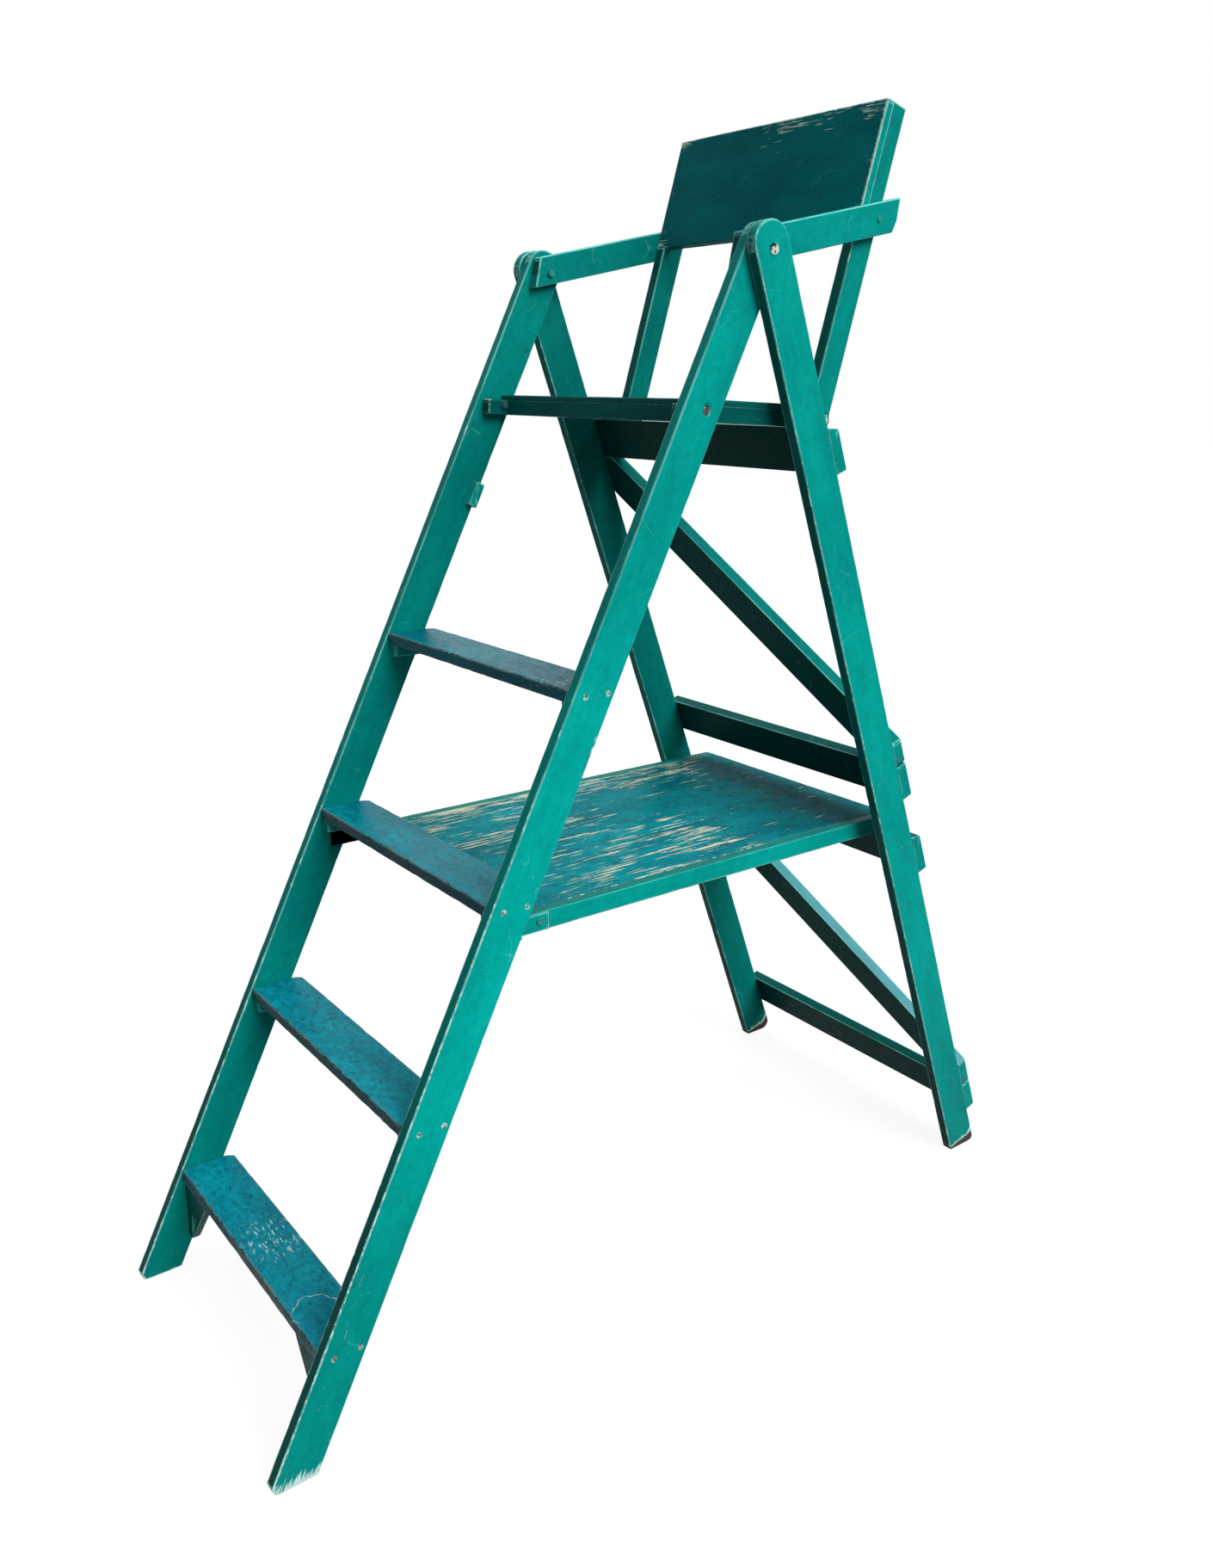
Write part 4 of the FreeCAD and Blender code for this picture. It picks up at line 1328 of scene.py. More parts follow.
            # Painted shade darkens the whole gusset, which lies under the bottom tread.
            timber = block(points, start, start + self.gusset_thick, Y, ease=0.9, seed=seed,
                           wear=lambda s, a, t: 0.06, shade=lambda s, a, t: 2.0)
        else:
            first, last = front + self.cleat_inset, front + self.cleat_inset + self.cleat_length
            rise = self.cleat_height * math.tan(-self.angle)
            foot = low - self.cleat_height
            points = [(first, low), (last, low), (last - rise, foot), (first, foot)]
            ends = side.span(self.inner - self.cleat_thick, self.inner)
            timber = block(points, *ends, ease=0.9, seed=seed, turn_grain=True)
        settle(timber_piece(f"cleat_block_{name}_{side.word}", [timber], self.paint.outer),
               "ladder", Slot.FRAME, f"cleat_{name}_{side.word}")

    def blocks(self, side: Side) -> None:
        """Bump block and platform bearer of one stile.

        Args:
            side: side of the chair.
        """
        reach = self.width / 2 + self.block_reach
        deep, long = self.block_depth, self.block_length
        points = [leaning(AXIS, self.angle, self.block_start + down, reach + rear)
                  for down, rear in ((0, -deep), (0, 0), (long, 0), (long, -deep))]
        ends = side.span(self.inner - self.block_thick, self.inner)
        timber = block(points, *ends, seed=3.0 + side.value, kept=(0.0, 0.0, 0.0), dents=0.1)
        settle(timber_piece("bump_stop_" + side.word, [timber], self.paint.outer), "ladder", Slot.FRAME,
               "bump_block_" + side.word)
        y, z = self.platform_pivot[0], self.platform_top
        front, low = y + self.bearer_front, z - self.bearer_low
        timbers = []
        for rear, high in self.bearer_steps:
            points = [(front, low), (y + rear, low), (y + rear, z), (front, z)]
            ends = side.span(self.inner - self.bearer_thick, self.inner - high)
            timbers.append(block(points, *ends, ease=0.8, dents=0.0, seed=5.0 + side.value, turn_grain=True))
        settle(timber_piece("bearer_block_" + side.word, timbers, self.paint.outer), "ladder", Slot.FRAME,
               "platform_bearer_" + side.word)


@dataclass
class RearFrame:
    """Two legs with four rails and two braces across their rear edges."""

    paint: Palette
    run: float = 590.8
    width: float = 63.0
    thick: float = 18.0
    rail_thick: float = 20.0
    inner: float = 272.0
    round_centre: float = -7.0
    rail_bottoms: tuple[float, ...] = (1276.0, 741.3, 599.7, 73.0)
    rail_names: tuple[str, ...] = ("top", "upper", "lower", "bottom")
    platform_low: float = 669.0
    seat_pivot: Point2 = (-93.0, 1367.0)
    seat_slope: float = 2.4
    seat_drop: float = 15.6
    upper_insets: Point2 = (36.0, 44.0)
    lower_insets: Point2 = (33.0, 34.0)
    foot_front_round: float = 5.0
    foot_rear_round: dict[Side, float] = field(default_factory=lambda: {Side.LEFT: 8.0, Side.RIGHT: 15.0})
    foot_steps: int = 5

    @property
    def angle(self) -> float:
        """Lean of the legs towards the rear."""
        return math.atan2(self.run, AXIS_HEIGHT)

    @property
    def outer(self) -> float:
        """Half width over the legs."""
        return self.inner + self.thick

    def place(self, x: float, down: float, rear: float) -> Vector:
        """Place in the frame's own plane."""
        y, z = leaning(AXIS, self.angle, down, rear)
        return Vector((x, y, z))

    def down(self, height: float, rear: Optional[float] = None) -> float:
        """Distance down the legs to a height on their rear edge."""
        return down_to_height(AXIS, self.angle, height, self.width / 2 if rear is None else rear)

    def leg(self, side: Side) -> Timber:
        """One leg, from its round head to its worn foot.

        Args:
            side: side of the chair.

        Returns:
            The timber.
        """
        angle = self.angle
        half = self.width / 2
        floor = Cut(AXIS_HEIGHT / math.cos(angle), math.tan(angle))
        length = AXIS_HEIGHT / math.cos(angle)
        cuts: list[End] = [floor]
        cuts += self.rounded_corner(-half, self.foot_front_round)
        cuts += self.rounded_corner(half, self.foot_rear_round[side])

        def wear(s: float, a: float, t: float) -> float:
            """Grey and bare at the foot, rubbed a little along the front edge.

            Args:
                s, a, t: place in the timber, in mm.

            Returns:
                Share of wear.
            """
            end = min(cut.reach(a, 0.0) for cut in cuts)
            rise = 9.0 + 24.0 * (a + half) / self.width
            return max(smooth(end - rise * 1.5, end - rise * 0.3, s) * 1.9, 0.02 if a > 0 else 0.12)

        def shade(s: float, a: float, t: float) -> float:
            """Painted shade on the front edge, growing towards the foot, and on the inner face; the left
            leg's outer face is darker towards the foot.

            Args:
                s, a, t: place in the timber, in mm.

            Returns:
                Share of darkening.
            """
            if a < -half + FACE_SLACK:
                return 1.3 + smooth(length * 0.5, length, s) * 0.7
            if side is Side.LEFT and t > self.thick / 2 - FACE_SLACK:
                return 0.8 * smooth(length * 0.72, length * 0.97, s)
            return inner_face(side, self.thick, 1.1)(s, a, t)

        return Timber(
            Vector((side.value * (self.inner + self.thick / 2), *AXIS)),
            *falling(angle), X, box_section(self.width, self.thick),
            [RoundEnd(self.round_centre, half, -1.0)], cuts,
            wear=wear, shade=shade, seed=21.0 + side.value * 0.7)

    def rounded_corner(self, edge: float, radius: float) -> list[End]:
        """Planes that round one corner of a foot, just inside the true arc.

        Args:
            edge: place of the corner across the leg.
            radius: radius of the round.

        Returns:
            The planes, from the leg's edge to the floor.
        """
        sign = math.copysign(1.0, edge)
        corner = AXIS_HEIGHT / math.cos(self.angle) + edge * math.tan(self.angle)
        along = corner - radius / math.tan((math.pi / 2 - sign * self.angle) / 2)
        first = sign * math.pi / 2
        count = self.foot_steps
        turns = [first + (-self.angle - first) * step / count for step in range(count + 1)]
        spots = [(along + radius * math.cos(turn), edge - sign * radius + radius * math.sin(turn))
                 for turn in turns]
        return [Cut.between(one, two) for one, two in zip(spots, spots[1:])]

    def underside(self, rear: float) -> Point2:
        """Where the seat rails' underside crosses a line behind the legs.

        Args:
            rear: distance of the line behind the legs' middle.

        Returns:
            The place as (down, rear).
        """
        low = sloping(self.seat_pivot, -self.seat_slope, 0.0, -self.seat_drop)
        fall = math.tan(math.radians(self.seat_slope))
        base = leaning(AXIS, self.angle, 0.0, rear)
        lean = math.tan(self.angle)
        height = (low[1] - fall * (base[0] + lean * base[1] - low[0])) / (1.0 - fall * lean)
        return (self.down(height, rear), rear)

    def build(self) -> None:
        """Make the legs, rails and braces."""
        for side in Side:
            settle(timber_piece("leg_" + side.word, [self.leg(side)], self.paint.outer),
                   "rear_frame", Slot.FRAME, "rear_leg_" + side.word)
        front, back = self.width / 2, self.width / 2 + self.rail_thick
        lows = [self.down(bottom) for bottom in self.rail_bottoms]
        tops: list[tuple[Point2, Point2]] = [
            (self.underside(front), self.underside(back)),
            ((lows[1] - self.width, front), (lows[1] - self.width, back)),
            ((self.down(self.platform_low, front), front), (self.down(self.platform_low, back), back)),
            ((lows[3] - self.width, front), (lows[3] - self.width, back)),
        ]
        down, rear = self.place(0, 1, 0) - self.place(0, 0, 0), self.place(0, 0, 1) - self.place(0, 0, 0)
        for index, (name, low, top) in enumerate(zip(self.rail_names, lows, tops)):
            section = [top[0], (low, front), (low, back), top[1]]

            def shade(s: float, a: float, t: float) -> float:
                """Painted shade: darkest in front, dark on the upper and lower edges, lighter at the ends,
                none behind.

                Args:
                    s, a, t: place in the timber, in mm.

                Returns:
                    Share of darkening.
                """
                if min(s, 2 * self.outer - s) < 1.0:
                    return 0.5
                return 2.1 if t < front + FACE_SLACK else 0.0 if t > back - 1 else 1.9

            timber = Timber(self.place(-self.outer, 0, 0), X, down, rear, section,
                            [Cut(0.0)], [Cut(2 * self.outer)], seed=31.0 + index * 1.9, ease=0.9, dents=0.1,
                            kept=(0.7, 1.3, 0.9), wear=lambda s, a, t: 0.02, shade=shade)
            settle(timber_piece("cross_rail_" + name, [timber], self.paint.outer),
                   "rear_frame", Slot.FRAME, "rear_rail_" + name)
        self.brace("upper", lows[0], lows[1] - self.width, self.upper_insets)
        self.brace("lower", lows[2], lows[3] - self.width, self.lower_insets)

    def brace(self, name: str, high: float, low: float, insets: Point2) -> None:
        """Diagonal from the right leg down to the left leg.

        Args:
            name: upper or lower.
            high: distance down the legs where it starts under a rail.
            low: distance down the legs where it ends on a rail.
            insets: how far its upper and lower arrises start inside the legs' outer faces.
        """
        start = -self.outer + insets[0]
        across = self.outer - insets[1] - start
        drop = low - high
        turn = math.atan2(drop, across) - math.asin(self.width / math.hypot(across, drop))
        cos, sin = math.cos(turn), math.sin(turn)
        half = self.width / 2
        middle = (start - half * sin, high + half * cos)
        heads = [Cut((high - middle[1]) / sin, -cos / sin), Cut((-self.outer - middle[0]) / cos, sin / cos)]
        feet = [Cut((low - middle[1]) / sin, -cos / sin), Cut((self.outer - middle[0]) / cos, sin / cos)]
        base = self.place(middle[0], middle[1], half + self.rail_thick / 2)
        down = self.place(0, 1, 0) - self.place(0, 0, 0)

        def shade(s: float, a: float, t: float) -> float:
            """Painted shade: dark in front, lighter at the ends, and on the upper edge, more so on the upper
            brace.

            Args:
                s, a, t: place in the timber, in mm.

            Returns:
                Share of darkening.
            """
            ends = min(s - max(cut.reach(a, t) for cut in heads), min(cut.reach(a, t) for cut in feet) - s)
            if ends < 1.0:
                return 0.5
            return front_and_top(self.width, self.rail_thick, 2.0, 1.15 if name == "upper" else 0.2)(s, a, t)

        def dust(s: float, a: float, t: float) -> float:
            """Painted sheen: a pale reflection on the upper edge of the lower brace."""
            return 0.75 if name == "lower" and a < -half + FACE_SLACK else 0.0

        timber = Timber(base, X * cos + down * sin, down * cos - X * sin,
                        self.place(0, 0, 1) - self.place(0, 0, 0),
                        box_section(self.width, self.rail_thick), heads, feet, ease=0.9, dents=0.1,
                        seed=41.0 + high * 0.001, kept=(0.7, 1.3, 0.9), wear=lambda s, a, t: 0.02,
                        shade=shade, dust=dust)
        settle(timber_piece("diagonal_" + name, [timber], self.paint.outer),
               "rear_frame", Slot.FRAME, "brace_" + name)


@dataclass
class Seat:
    """Seat rails that turn on the stiles, with a thin board on them."""

    paint: Palette
    pivot: Point2 = (-93.0, 1367.0)
    slope: float = 2.4
    drop: float = 15.6
    height: float = 24.0
    inner: float = 231.0
    outer: float = 251.0
    front: float = 29.0
    board: Point3 = (7.0, 229.0, 7.5)
    front_rail: float = 18.0
    batten: Point3 = (190.0, 18.0, 16.0)

    def bar(self, start: float, end: float, low: float, high: float, x_low: float, x_high: float,
            **settings: object) -> Timber:
        """Timber of the seat by its distances from the pivot line.

        Args:
            start, end: distances along the seat.
            low, high: heights above the pivot line.
            x_low, x_high: its ends across the chair.
            settings: further fields of the timber.

        Returns:
            The timber.
        """
        points = [sloping(self.pivot, -self.slope, s, h)
                  for s, h in ((start, low), (end, low), (end, high), (start, high))]
        return block(points, x_low, x_high, **settings)

    def build(self) -> None:
        """Make the rails, the batten and the board."""
        low, high = -self.drop, -self.drop + self.height
        turn = math.radians(-self.slope)
        half = self.height / 2
        bolt = packed_edge("seat_side_rail_left", 1, True) - half
        run = (bolt - sloping(self.pivot, -self.slope, 0.0, (low + high) / 2)[0]) / math.cos(turn)
        for side in Side:
            y, z = sloping(self.pivot, -self.slope, -self.front, (low + high) / 2)
            timber = Timber(Vector((side.value * (self.inner + self.outer) / 2, y, z)),
                            *rising(turn), X, box_section(self.height, self.outer - self.inner),
                            [Cut(0.0)], [RoundEnd(self.front + run, half, 1.0)], seed=51.0 + side.value,
                            wear=lambda s, a, t: 0.02 + 0.5 * smooth(9, 1, s), kept=(0.9, 0.0, 0.0))
            settle(timber_piece("seat_rail_" + side.word, [timber], self.paint.seat),
                   "seat", Slot.FRAME, "seat_side_rail_" + side.word)
        start = self.board[0]
        rail = self.bar(start, start + self.front_rail, low, high, -self.inner, self.inner,
                        seed=54.0, ease=1.0)
        settle(timber_piece("seat_rail_front", [rail], self.paint.seat), "seat", Slot.DARK, "seat_front_rail")
        first, width, deep = self.batten
        batten = self.bar(first, first + width, high - deep, high, -self.inner, self.inner,
                          seed=55.0, ease=1.0)
        settle(timber_piece("seat_batten", [batten], self.paint.seat), "seat", Slot.DARK, "seat_rear_batten")
        board = self.bar(start, self.board[1], high, high + self.board[2], -self.outer, self.outer, seed=56.0,
                         wear=lambda s, a, t: 0.01)
        settle(timber_piece("seat_top", [board], self.paint.seat), "seat", Slot.DARK, "seat_board")


@dataclass
class ArmsAndBack:
    """Arms on the folding bolts, and the back posts and board that lean on them."""

    paint: Palette
    arm_slope: float = 12.4
    arm_height: float = 45.0
    arm_lift: float = 5.6
    arm_front: float = 34.0
    arm_front_cut: float = 20.0
    arm_rear: float = 278.0
    arm_cut: float = 12.0
    arm_knee: float = 0.35
    arm_inner: float = 231.0
    arm_outer: float = 251.0
    lean: float = 16.5
    bolt_along: float = 252.0
    post_width: float = 40.0
    post_inner: float = 210.0
    post_outer: float = 230.0
    board_thick: float = 14.0
    board_length: float = 182.0
    board_below: float = 13.0
    cutter_past: float = 20.0
    cutter_half: float = 300.0

    @property
    def base(self) -> Point2:
        """Start of the arms' middle line."""
        return (0.0, AXIS_HEIGHT + self.arm_lift)

    @property
    def bolt(self) -> Point2:
        """Bolt between arm and back post."""
        return sloping(self.base, self.arm_slope, self.bolt_along, 0.0)

    def build(self) -> None:
        """Make arms, posts and back board."""
        turn = math.radians(self.arm_slope)
        half = self.arm_height / 2
        knee = (self.arm_rear + self.arm_cut, -half * self.arm_knee)
        feet = [Cut.between((self.arm_rear, -half), knee),
                Cut.between(knee, (self.arm_rear + 2 * self.arm_cut, half))]
        lean = -math.radians(self.lean)
        down, rear = falling(lean)
        top = self.board_below - self.board_length
        foot = packed_edge("back_post_left", 2, False) + self.post_width / 2
        reach = (self.bolt[1] - foot) / math.cos(lean)
        slant = Cut.between((-self.arm_front, -half), (self.arm_front_cut - self.arm_front, half))
        for side in Side:
            arm = Timber(Vector((side.value * (self.arm_inner + self.arm_outer) / 2, *self.base)),
                         *rising(turn), X, box_section(self.arm_height, self.arm_outer - self.arm_inner),
                         [slant], feet, seed=61.0 + side.value, dents=0.2, kept=(1.3, 0.7, 0.3),
                         shade=self.arm_shade(side, slant), wear=lambda s, a, t: 0.03)
            settle(timber_piece("arm_rest_" + side.word, [arm], self.paint.outer),
                   "arms", Slot.FRAME, "arm_" + side.word)
            post = Timber(Vector((side.value * (self.post_inner + self.post_outer) / 2, *self.bolt)),
                          down, rear, X, box_section(self.post_width, self.post_outer - self.post_inner),
                          [Cut(top)], [RoundEnd(reach, self.post_width / 2, 1.0)],
                          seed=65.0 + side.value, ease=1.2, dents=0.2, shade=self.post_shade(side),
                          wear=lambda s, a, t: 0.02 + (0.4 * smooth(20, -10, s) if a < 0 else 0.0))
            piece = timber_piece("back_upright_" + side.word, [post], self.paint.outer)
            carve(piece, self.rebate(down, rear, top))
            settle(piece, "backrest", Slot.FRAME, "back_post_" + side.word)
        y, z = leaning(self.bolt, lean, (top + self.board_below) / 2,
                       -self.post_width / 2 + self.board_thick / 2)

        def wear(s: float, a: float, t: float) -> float:
            """Flaked along the top and at the lower right corner.

            Args:
                s, a, t: place in the timber, in mm.

            Returns:
                Share of wear.
            """
            half = self.board_length / 2
            left = 2 * self.post_outer - s
            if t > 0 or left < FACE_SLACK:
                return 0.03
            top_band = smooth(half - 50, half - 12, -a) * 0.74
            near = smooth(self.post_outer * 0.6, self.post_outer * 1.1, s)
            corners = smooth(60, 4, s) * smooth(half - 30, half, abs(a)) * 1.1
            near_end = smooth(6, 2, left) * 1.25
            return max(top_band * near, corners, near_end, 0.03)

        board = Timber(Vector((-self.post_outer, y, z)), X, down, rear,
                       box_section(self.board_length, self.board_thick),
                       [Cut(0.0)], [Cut(2 * self.post_outer)], seed=71.0, ease=1.2,
                       wear=wear, shade=self.panel_shade)
        panel = timber_piece("back_panel", [board], self.paint.board)
        panel.data.materials.append(self.paint.outer)
        for face in panel.data.polygons:
            if abs(face.center.x) > (self.post_outer - 0.3) * MM:
                face.material_index = 1
        settle(panel, "backrest", Slot.DARK, "backrest_board")

    def panel_shade(self, s: float, a: float, t: float) -> float:
        """Painted shade on the board's ends, as on the posts."""
        return 0.5 if min(s, 2 * self.post_outer - s) < FACE_SLACK else 0.0

    def arm_shade(self, side: Side, front: Cut) -> PaintMap:
        """Painted shade: dark on an arm's front end, less on its inner face, and a little all over."""
        inside = inner_face(side, self.arm_outer - self.arm_inner, 0.7)
        return lambda s, a, t: 1.8 if s < front.reach(a, t) + 0.6 else inside(s, a, t) + 0.15

    def post_shade(self, side: Side) -> PaintMap:
        """Painted shade: dark on a post's front edge, less on its inner face, and some all over."""
        inside = inner_face(side, self.post_outer - self.post_inner, 0.45)
        return lambda s, a, t: 1.6 if a < -self.post_width / 2 + FACE_SLACK else inside(s, a, t) + 0.5

    def rebate(self, down: Vector, rear: Vector, top: float) -> Mesh:
        """Cutter for the place of the back board in the posts.

        Args:
            down, rear: directions of the posts.
            top: place of their upper ends.

        Returns:
            The cutter.
        """
        mesh = bmesh.new()
        grain, maps = paint_layers(mesh)
        ahead, behind = -self.post_width, -self.post_width / 2 + self.board_thick
        above, below = top - self.cutter_past, self.board_below
        rings = []
        for x in (-self.cutter_half, self.cutter_half):
            ring = []
            for s, a in ((above, ahead), (above, behind), (below, behind), (below, ahead)):
                vert = mesh.verts.new(metres(Vector((x, *self.bolt)) + down * s + rear * a))
                vert[grain] = vert.co.copy()
                vert[maps["arris"]] = self.cutter_past * MM
                ring.append(vert)
            rings.append(ring)
        for ring in rings:
            mesh.faces.new(ring)
        join_rings(mesh, rings[0], rings[1])
        return mesh


@dataclass
class Platform:
    """Foot platform: side rails, lengthwise boards and the battens under them."""

    paint: Palette
    start: float = -364.0
    end: float = 379.5
    top: float = 697.0
    side_height: float = 28.0
    side_thick: float = 18.0
    half_width: float = 237.0
    deck_thick: float = 13.0
    gap: float = 0.6
    board_names: tuple[str, ...] = ("right", "middle", "left")
    batten: Point2 = (45.0, 13.0)
    batten_insets: Point2 = (45.0, 75.0)

    @property
    def batten_starts(self) -> dict[str, float]:
        """Y where each batten starts."""
        front, rear = self.batten_insets
        return {"front": self.start + front, "rear": self.end - rear - self.batten[0]}

    def build(self) -> None:
        """Make every timber of the platform."""
        length = self.end - self.start
        inner = self.half_width - self.side_thick
        for side in Side:
            centre = Vector((side.value * (inner + self.half_width) / 2, self.start,
                             self.top - self.side_height / 2))
            rail = Timber(centre, Y, Z, X, box_section(self.side_height, self.side_thick), [Cut(0.0)],
                          [Cut(length)], seed=81.0 + side.value, wear=lambda s, a, t: 0.03,
                          shade=lambda s, a, t: 0.9 if a > self.side_height / 2 - FACE_SLACK else 0.0)
            settle(timber_piece("deck_side_" + side.word, [rail], self.paint.outer),
                   "platform", Slot.FRAME, "platform_side_rail_" + side.word)
        width = 2 * inner / len(self.board_names)
        for index, word in enumerate(self.board_names):
            low = -inner + width * index + (self.gap / 2 if index else 0.0)
            high = -inner + width * (index + 1) - (self.gap / 2 if word != self.board_names[-1] else 0.0)
            middle = (low + high) / 2

            def wear(s: float, a: float, t: float, middle: float = middle) -> float:
                """Flaked along the far edge and across the middle, less behind the tread.

                Args:
                    s, a, t: place in the timber, in mm.
                    middle: X of the board's middle.

                Returns:
                    Share of wear.
                """
                x = middle - a
                far = smooth(-60, -205, x) * smooth(760, 620, s)
                strip = smooth(-20, 80, x) * smooth(60, 160, s) * smooth(560, 380, s)
                front = smooth(0, 100, s) * smooth(420, 240, s) * 0.8
                band = smooth(-178, -206, x) * smooth(40, 90, s) * smooth(620, 420, s)
                return 0.30 * max(far * 1.25, strip * 0.8, front, band * 1.75)

            def shade(s: float, a: float, t: float) -> float:
                """Darker towards the rear on the top face, and a little on the other faces."""
                return smooth(330, 700, s) * 1.1 if t > 0 else 0.6

            deck = Timber(Vector((middle, self.start, self.top - self.deck_thick / 2)), Y, -X, Z,
                          box_section(high - low, self.deck_thick), [Cut(0.0)], [Cut(length)],
                          ease=0.8, seed=85.0 + index * 3.1, wear=wear, shade=shade, dents=0.5)
            settle(timber_piece("deck_plank_" + word, [deck], self.paint.deck), "platform", Slot.TREAD,
                   "deck_board_" + word)
        low = self.top - self.deck_thick - self.batten[1]
        high = self.top - self.deck_thick
        for word, first in self.batten_starts.items():
            last = first + self.batten[0]
            timber = block([(first, low), (last, low), (last, high), (first, high)], -inner, inner,
                                  ease=1.0, seed=91.0 + first * 0.01)
            settle(timber_piece("deck_batten_" + word, [timber], self.paint.outer), "platform", Slot.FRAME,
                   "platform_batten_" + word)


# Fasteners


@dataclass
class Fasteners:
    """Screw heads and nail heads, set out by Geometry Nodes on marked points."""

    paint: Palette
    head_radius: float = 4.5
    nail_radius: float = 2.4
    proud: float = 0.1
    spread: float = 0.08
    seed: int = 7
    turn_apart: float = 2.399
    screw_rings: tuple[Point2, ...] = ((1.0, -0.30), (1.0, -0.02), (0.95, 0.03), (0.72, 0.055), (0.36, 0.07))
    screw_sides: int = 24
    slot_height: float = 0.05
    slot_size: Point3 = (2.4, 0.24, 0.30)
    nail_rings: tuple[Point2, ...] = ((0.96, -0.30), (1.0, -0.05), (0.92, 0.04), (0.45, 0.01))
    nail_sides: int = 16
    tread_offsets: Point2 = (17.0, 54.5)
    tread_drop: float = 8.0
    rail_rises: Point2 = (15.0, 45.0)
    brace_insets: Point2 = (20.0, 16.0)
    board_insets: Point2 = (26.0, 16.0)
    seat_inset: float = 16.0
    seat_nails: int = 4
    deck_inset: float = 18.0

    @staticmethod
    def turned(rings: Sequence[Point2], count: int) -> Mesh:
        """Closed solid turned about Z from its (radius, height) rings.

        Args:
            rings: from the lowest ring to the top.
            count: points in each ring.

        Returns:
            The solid's mesh.
        """
        mesh = bmesh.new()
        rows = [round_ring(mesh, radius, height, count) for radius, height in rings]
        for first, second in zip(rows, rows[1:]):
            join_rings(mesh, first, second)
        mesh.faces.new(list(reversed(rows[0])))
        mesh.faces.new(rows[-1])
        return mesh

    def screw_head(self) -> Piece:
        """Slightly domed head with a slot, one unit in radius, facing +Z.

        Returns:
            The pattern that is set out, flat-shaded.
        """
        solid = self.turned(self.screw_rings, self.screw_sides)
        head = make_object("screw_head_pattern", solid, self.paint.screw)
        slot = bmesh.new()
        middle = Matrix.Translation((0, 0, self.slot_height))
        bmesh.ops.create_cube(slot, size=1.0, matrix=middle @ Matrix.Diagonal((*self.slot_size, 1.0)))
        carve(head, slot)
        for face in head.data.polygons:
            face.use_smooth = False
        return head

    def nail_head(self) -> Piece:
        """Flat, slightly dished nail head, one unit in radius, facing +Z."""
        solid = self.turned(self.nail_rings, self.nail_sides)
        return make_object("nail_head_pattern", solid, self.paint.rusty)

    def tree(self) -> tuple[bpy.types.NodeTree, dict[str, str]]:
        """Tree that sets a head on each point, and the identifiers of its inputs.

        Returns:
            The tree, and the identifier of each input by its name.
        """
        tree = bpy.data.node_groups.new("set_fasteners", "GeometryNodeTree")
        face = tree.interface
        sockets = {"Points": face.new_socket("Points", in_out="INPUT", socket_type="NodeSocketGeometry")}
        for name, kind in (("Head", "Object"), ("Head Radius", "Float"), ("Radius Spread", "Float"),
                           ("Finish", "Material")):
            sockets[name] = face.new_socket(name, in_out="INPUT", socket_type="NodeSocket" + kind)
        face.new_socket("Heads", in_out="OUTPUT", socket_type="NodeSocketGeometry")
        nodes, links = tree.nodes, tree.links
        given = nodes.new("NodeGroupInput")
        out = nodes.new("NodeGroupOutput")
        points = nodes.new("GeometryNodeMeshToPoints")
        facing, spin = (nodes.new("GeometryNodeInputNamedAttribute") for _ in range(2))
        for read, kind, name in ((facing, "FLOAT_VECTOR", "facing"), (spin, "FLOAT", "spin")):
            read.data_type = kind
            read.inputs["Name"].default_value = name
        align = nodes.new("FunctionNodeAlignRotationToVector")
        align.axis = "Z"
        roll = nodes.new("FunctionNodeAxisAngleToRotation")
        roll.inputs["Axis"].default_value = (0.0, 0.0, 1.0)
        turned = nodes.new("FunctionNodeRotateRotation")
        turned.rotation_space = "LOCAL"
        head = nodes.new("GeometryNodeObjectInfo")
        spread = nodes.new("FunctionNodeRandomValue")
        spread.data_type = "FLOAT"
        spread.inputs["Seed"].default_value = self.seed
        low = nodes.new("ShaderNodeMath")
        low.operation = "SUBTRACT"
        low.inputs[0].default_value = 1.0
        size = nodes.new("ShaderNodeMath")
        size.operation = "MULTIPLY"
        setter = nodes.new("GeometryNodeInstanceOnPoints")
        real = nodes.new("GeometryNodeRealizeInstances")
        dress = nodes.new("GeometryNodeSetMaterial")
        floats, values = ([k for k, socket in enumerate(group) if socket.type == "VALUE" and socket.enabled]
                          for group in (spread.inputs, spread.outputs))
        spread.inputs[floats[1]].default_value = 1.0
        for source, key, target, place in (
                (given, "Points", points, "Mesh"), (facing, "Attribute", align, "Vector"),
                (spin, "Attribute", roll, "Angle"), (align, "Rotation", turned, "Rotation"),
                (roll, "Rotation", turned, "Rotate By"), (given, "Head", head, "Object"),
                (given, "Radius Spread", low, 1), (low, 0, spread, floats[0]), (spread, values[0], size, 0),
                (given, "Head Radius", size, 1), (points, "Points", setter, "Points"),
                (head, "Geometry", setter, "Instance"), (turned, "Rotation", setter, "Rotation"),
                (size, 0, setter, "Scale"), (setter, "Instances", real, "Geometry"),
                (real, "Geometry", dress, "Geometry"), (given, "Finish", dress, "Material"),
                (dress, "Geometry", out, "Heads")):
            links.new(source.outputs[key], target.inputs[place])
        return tree, {name: socket.identifier for name, socket in sockets.items()}

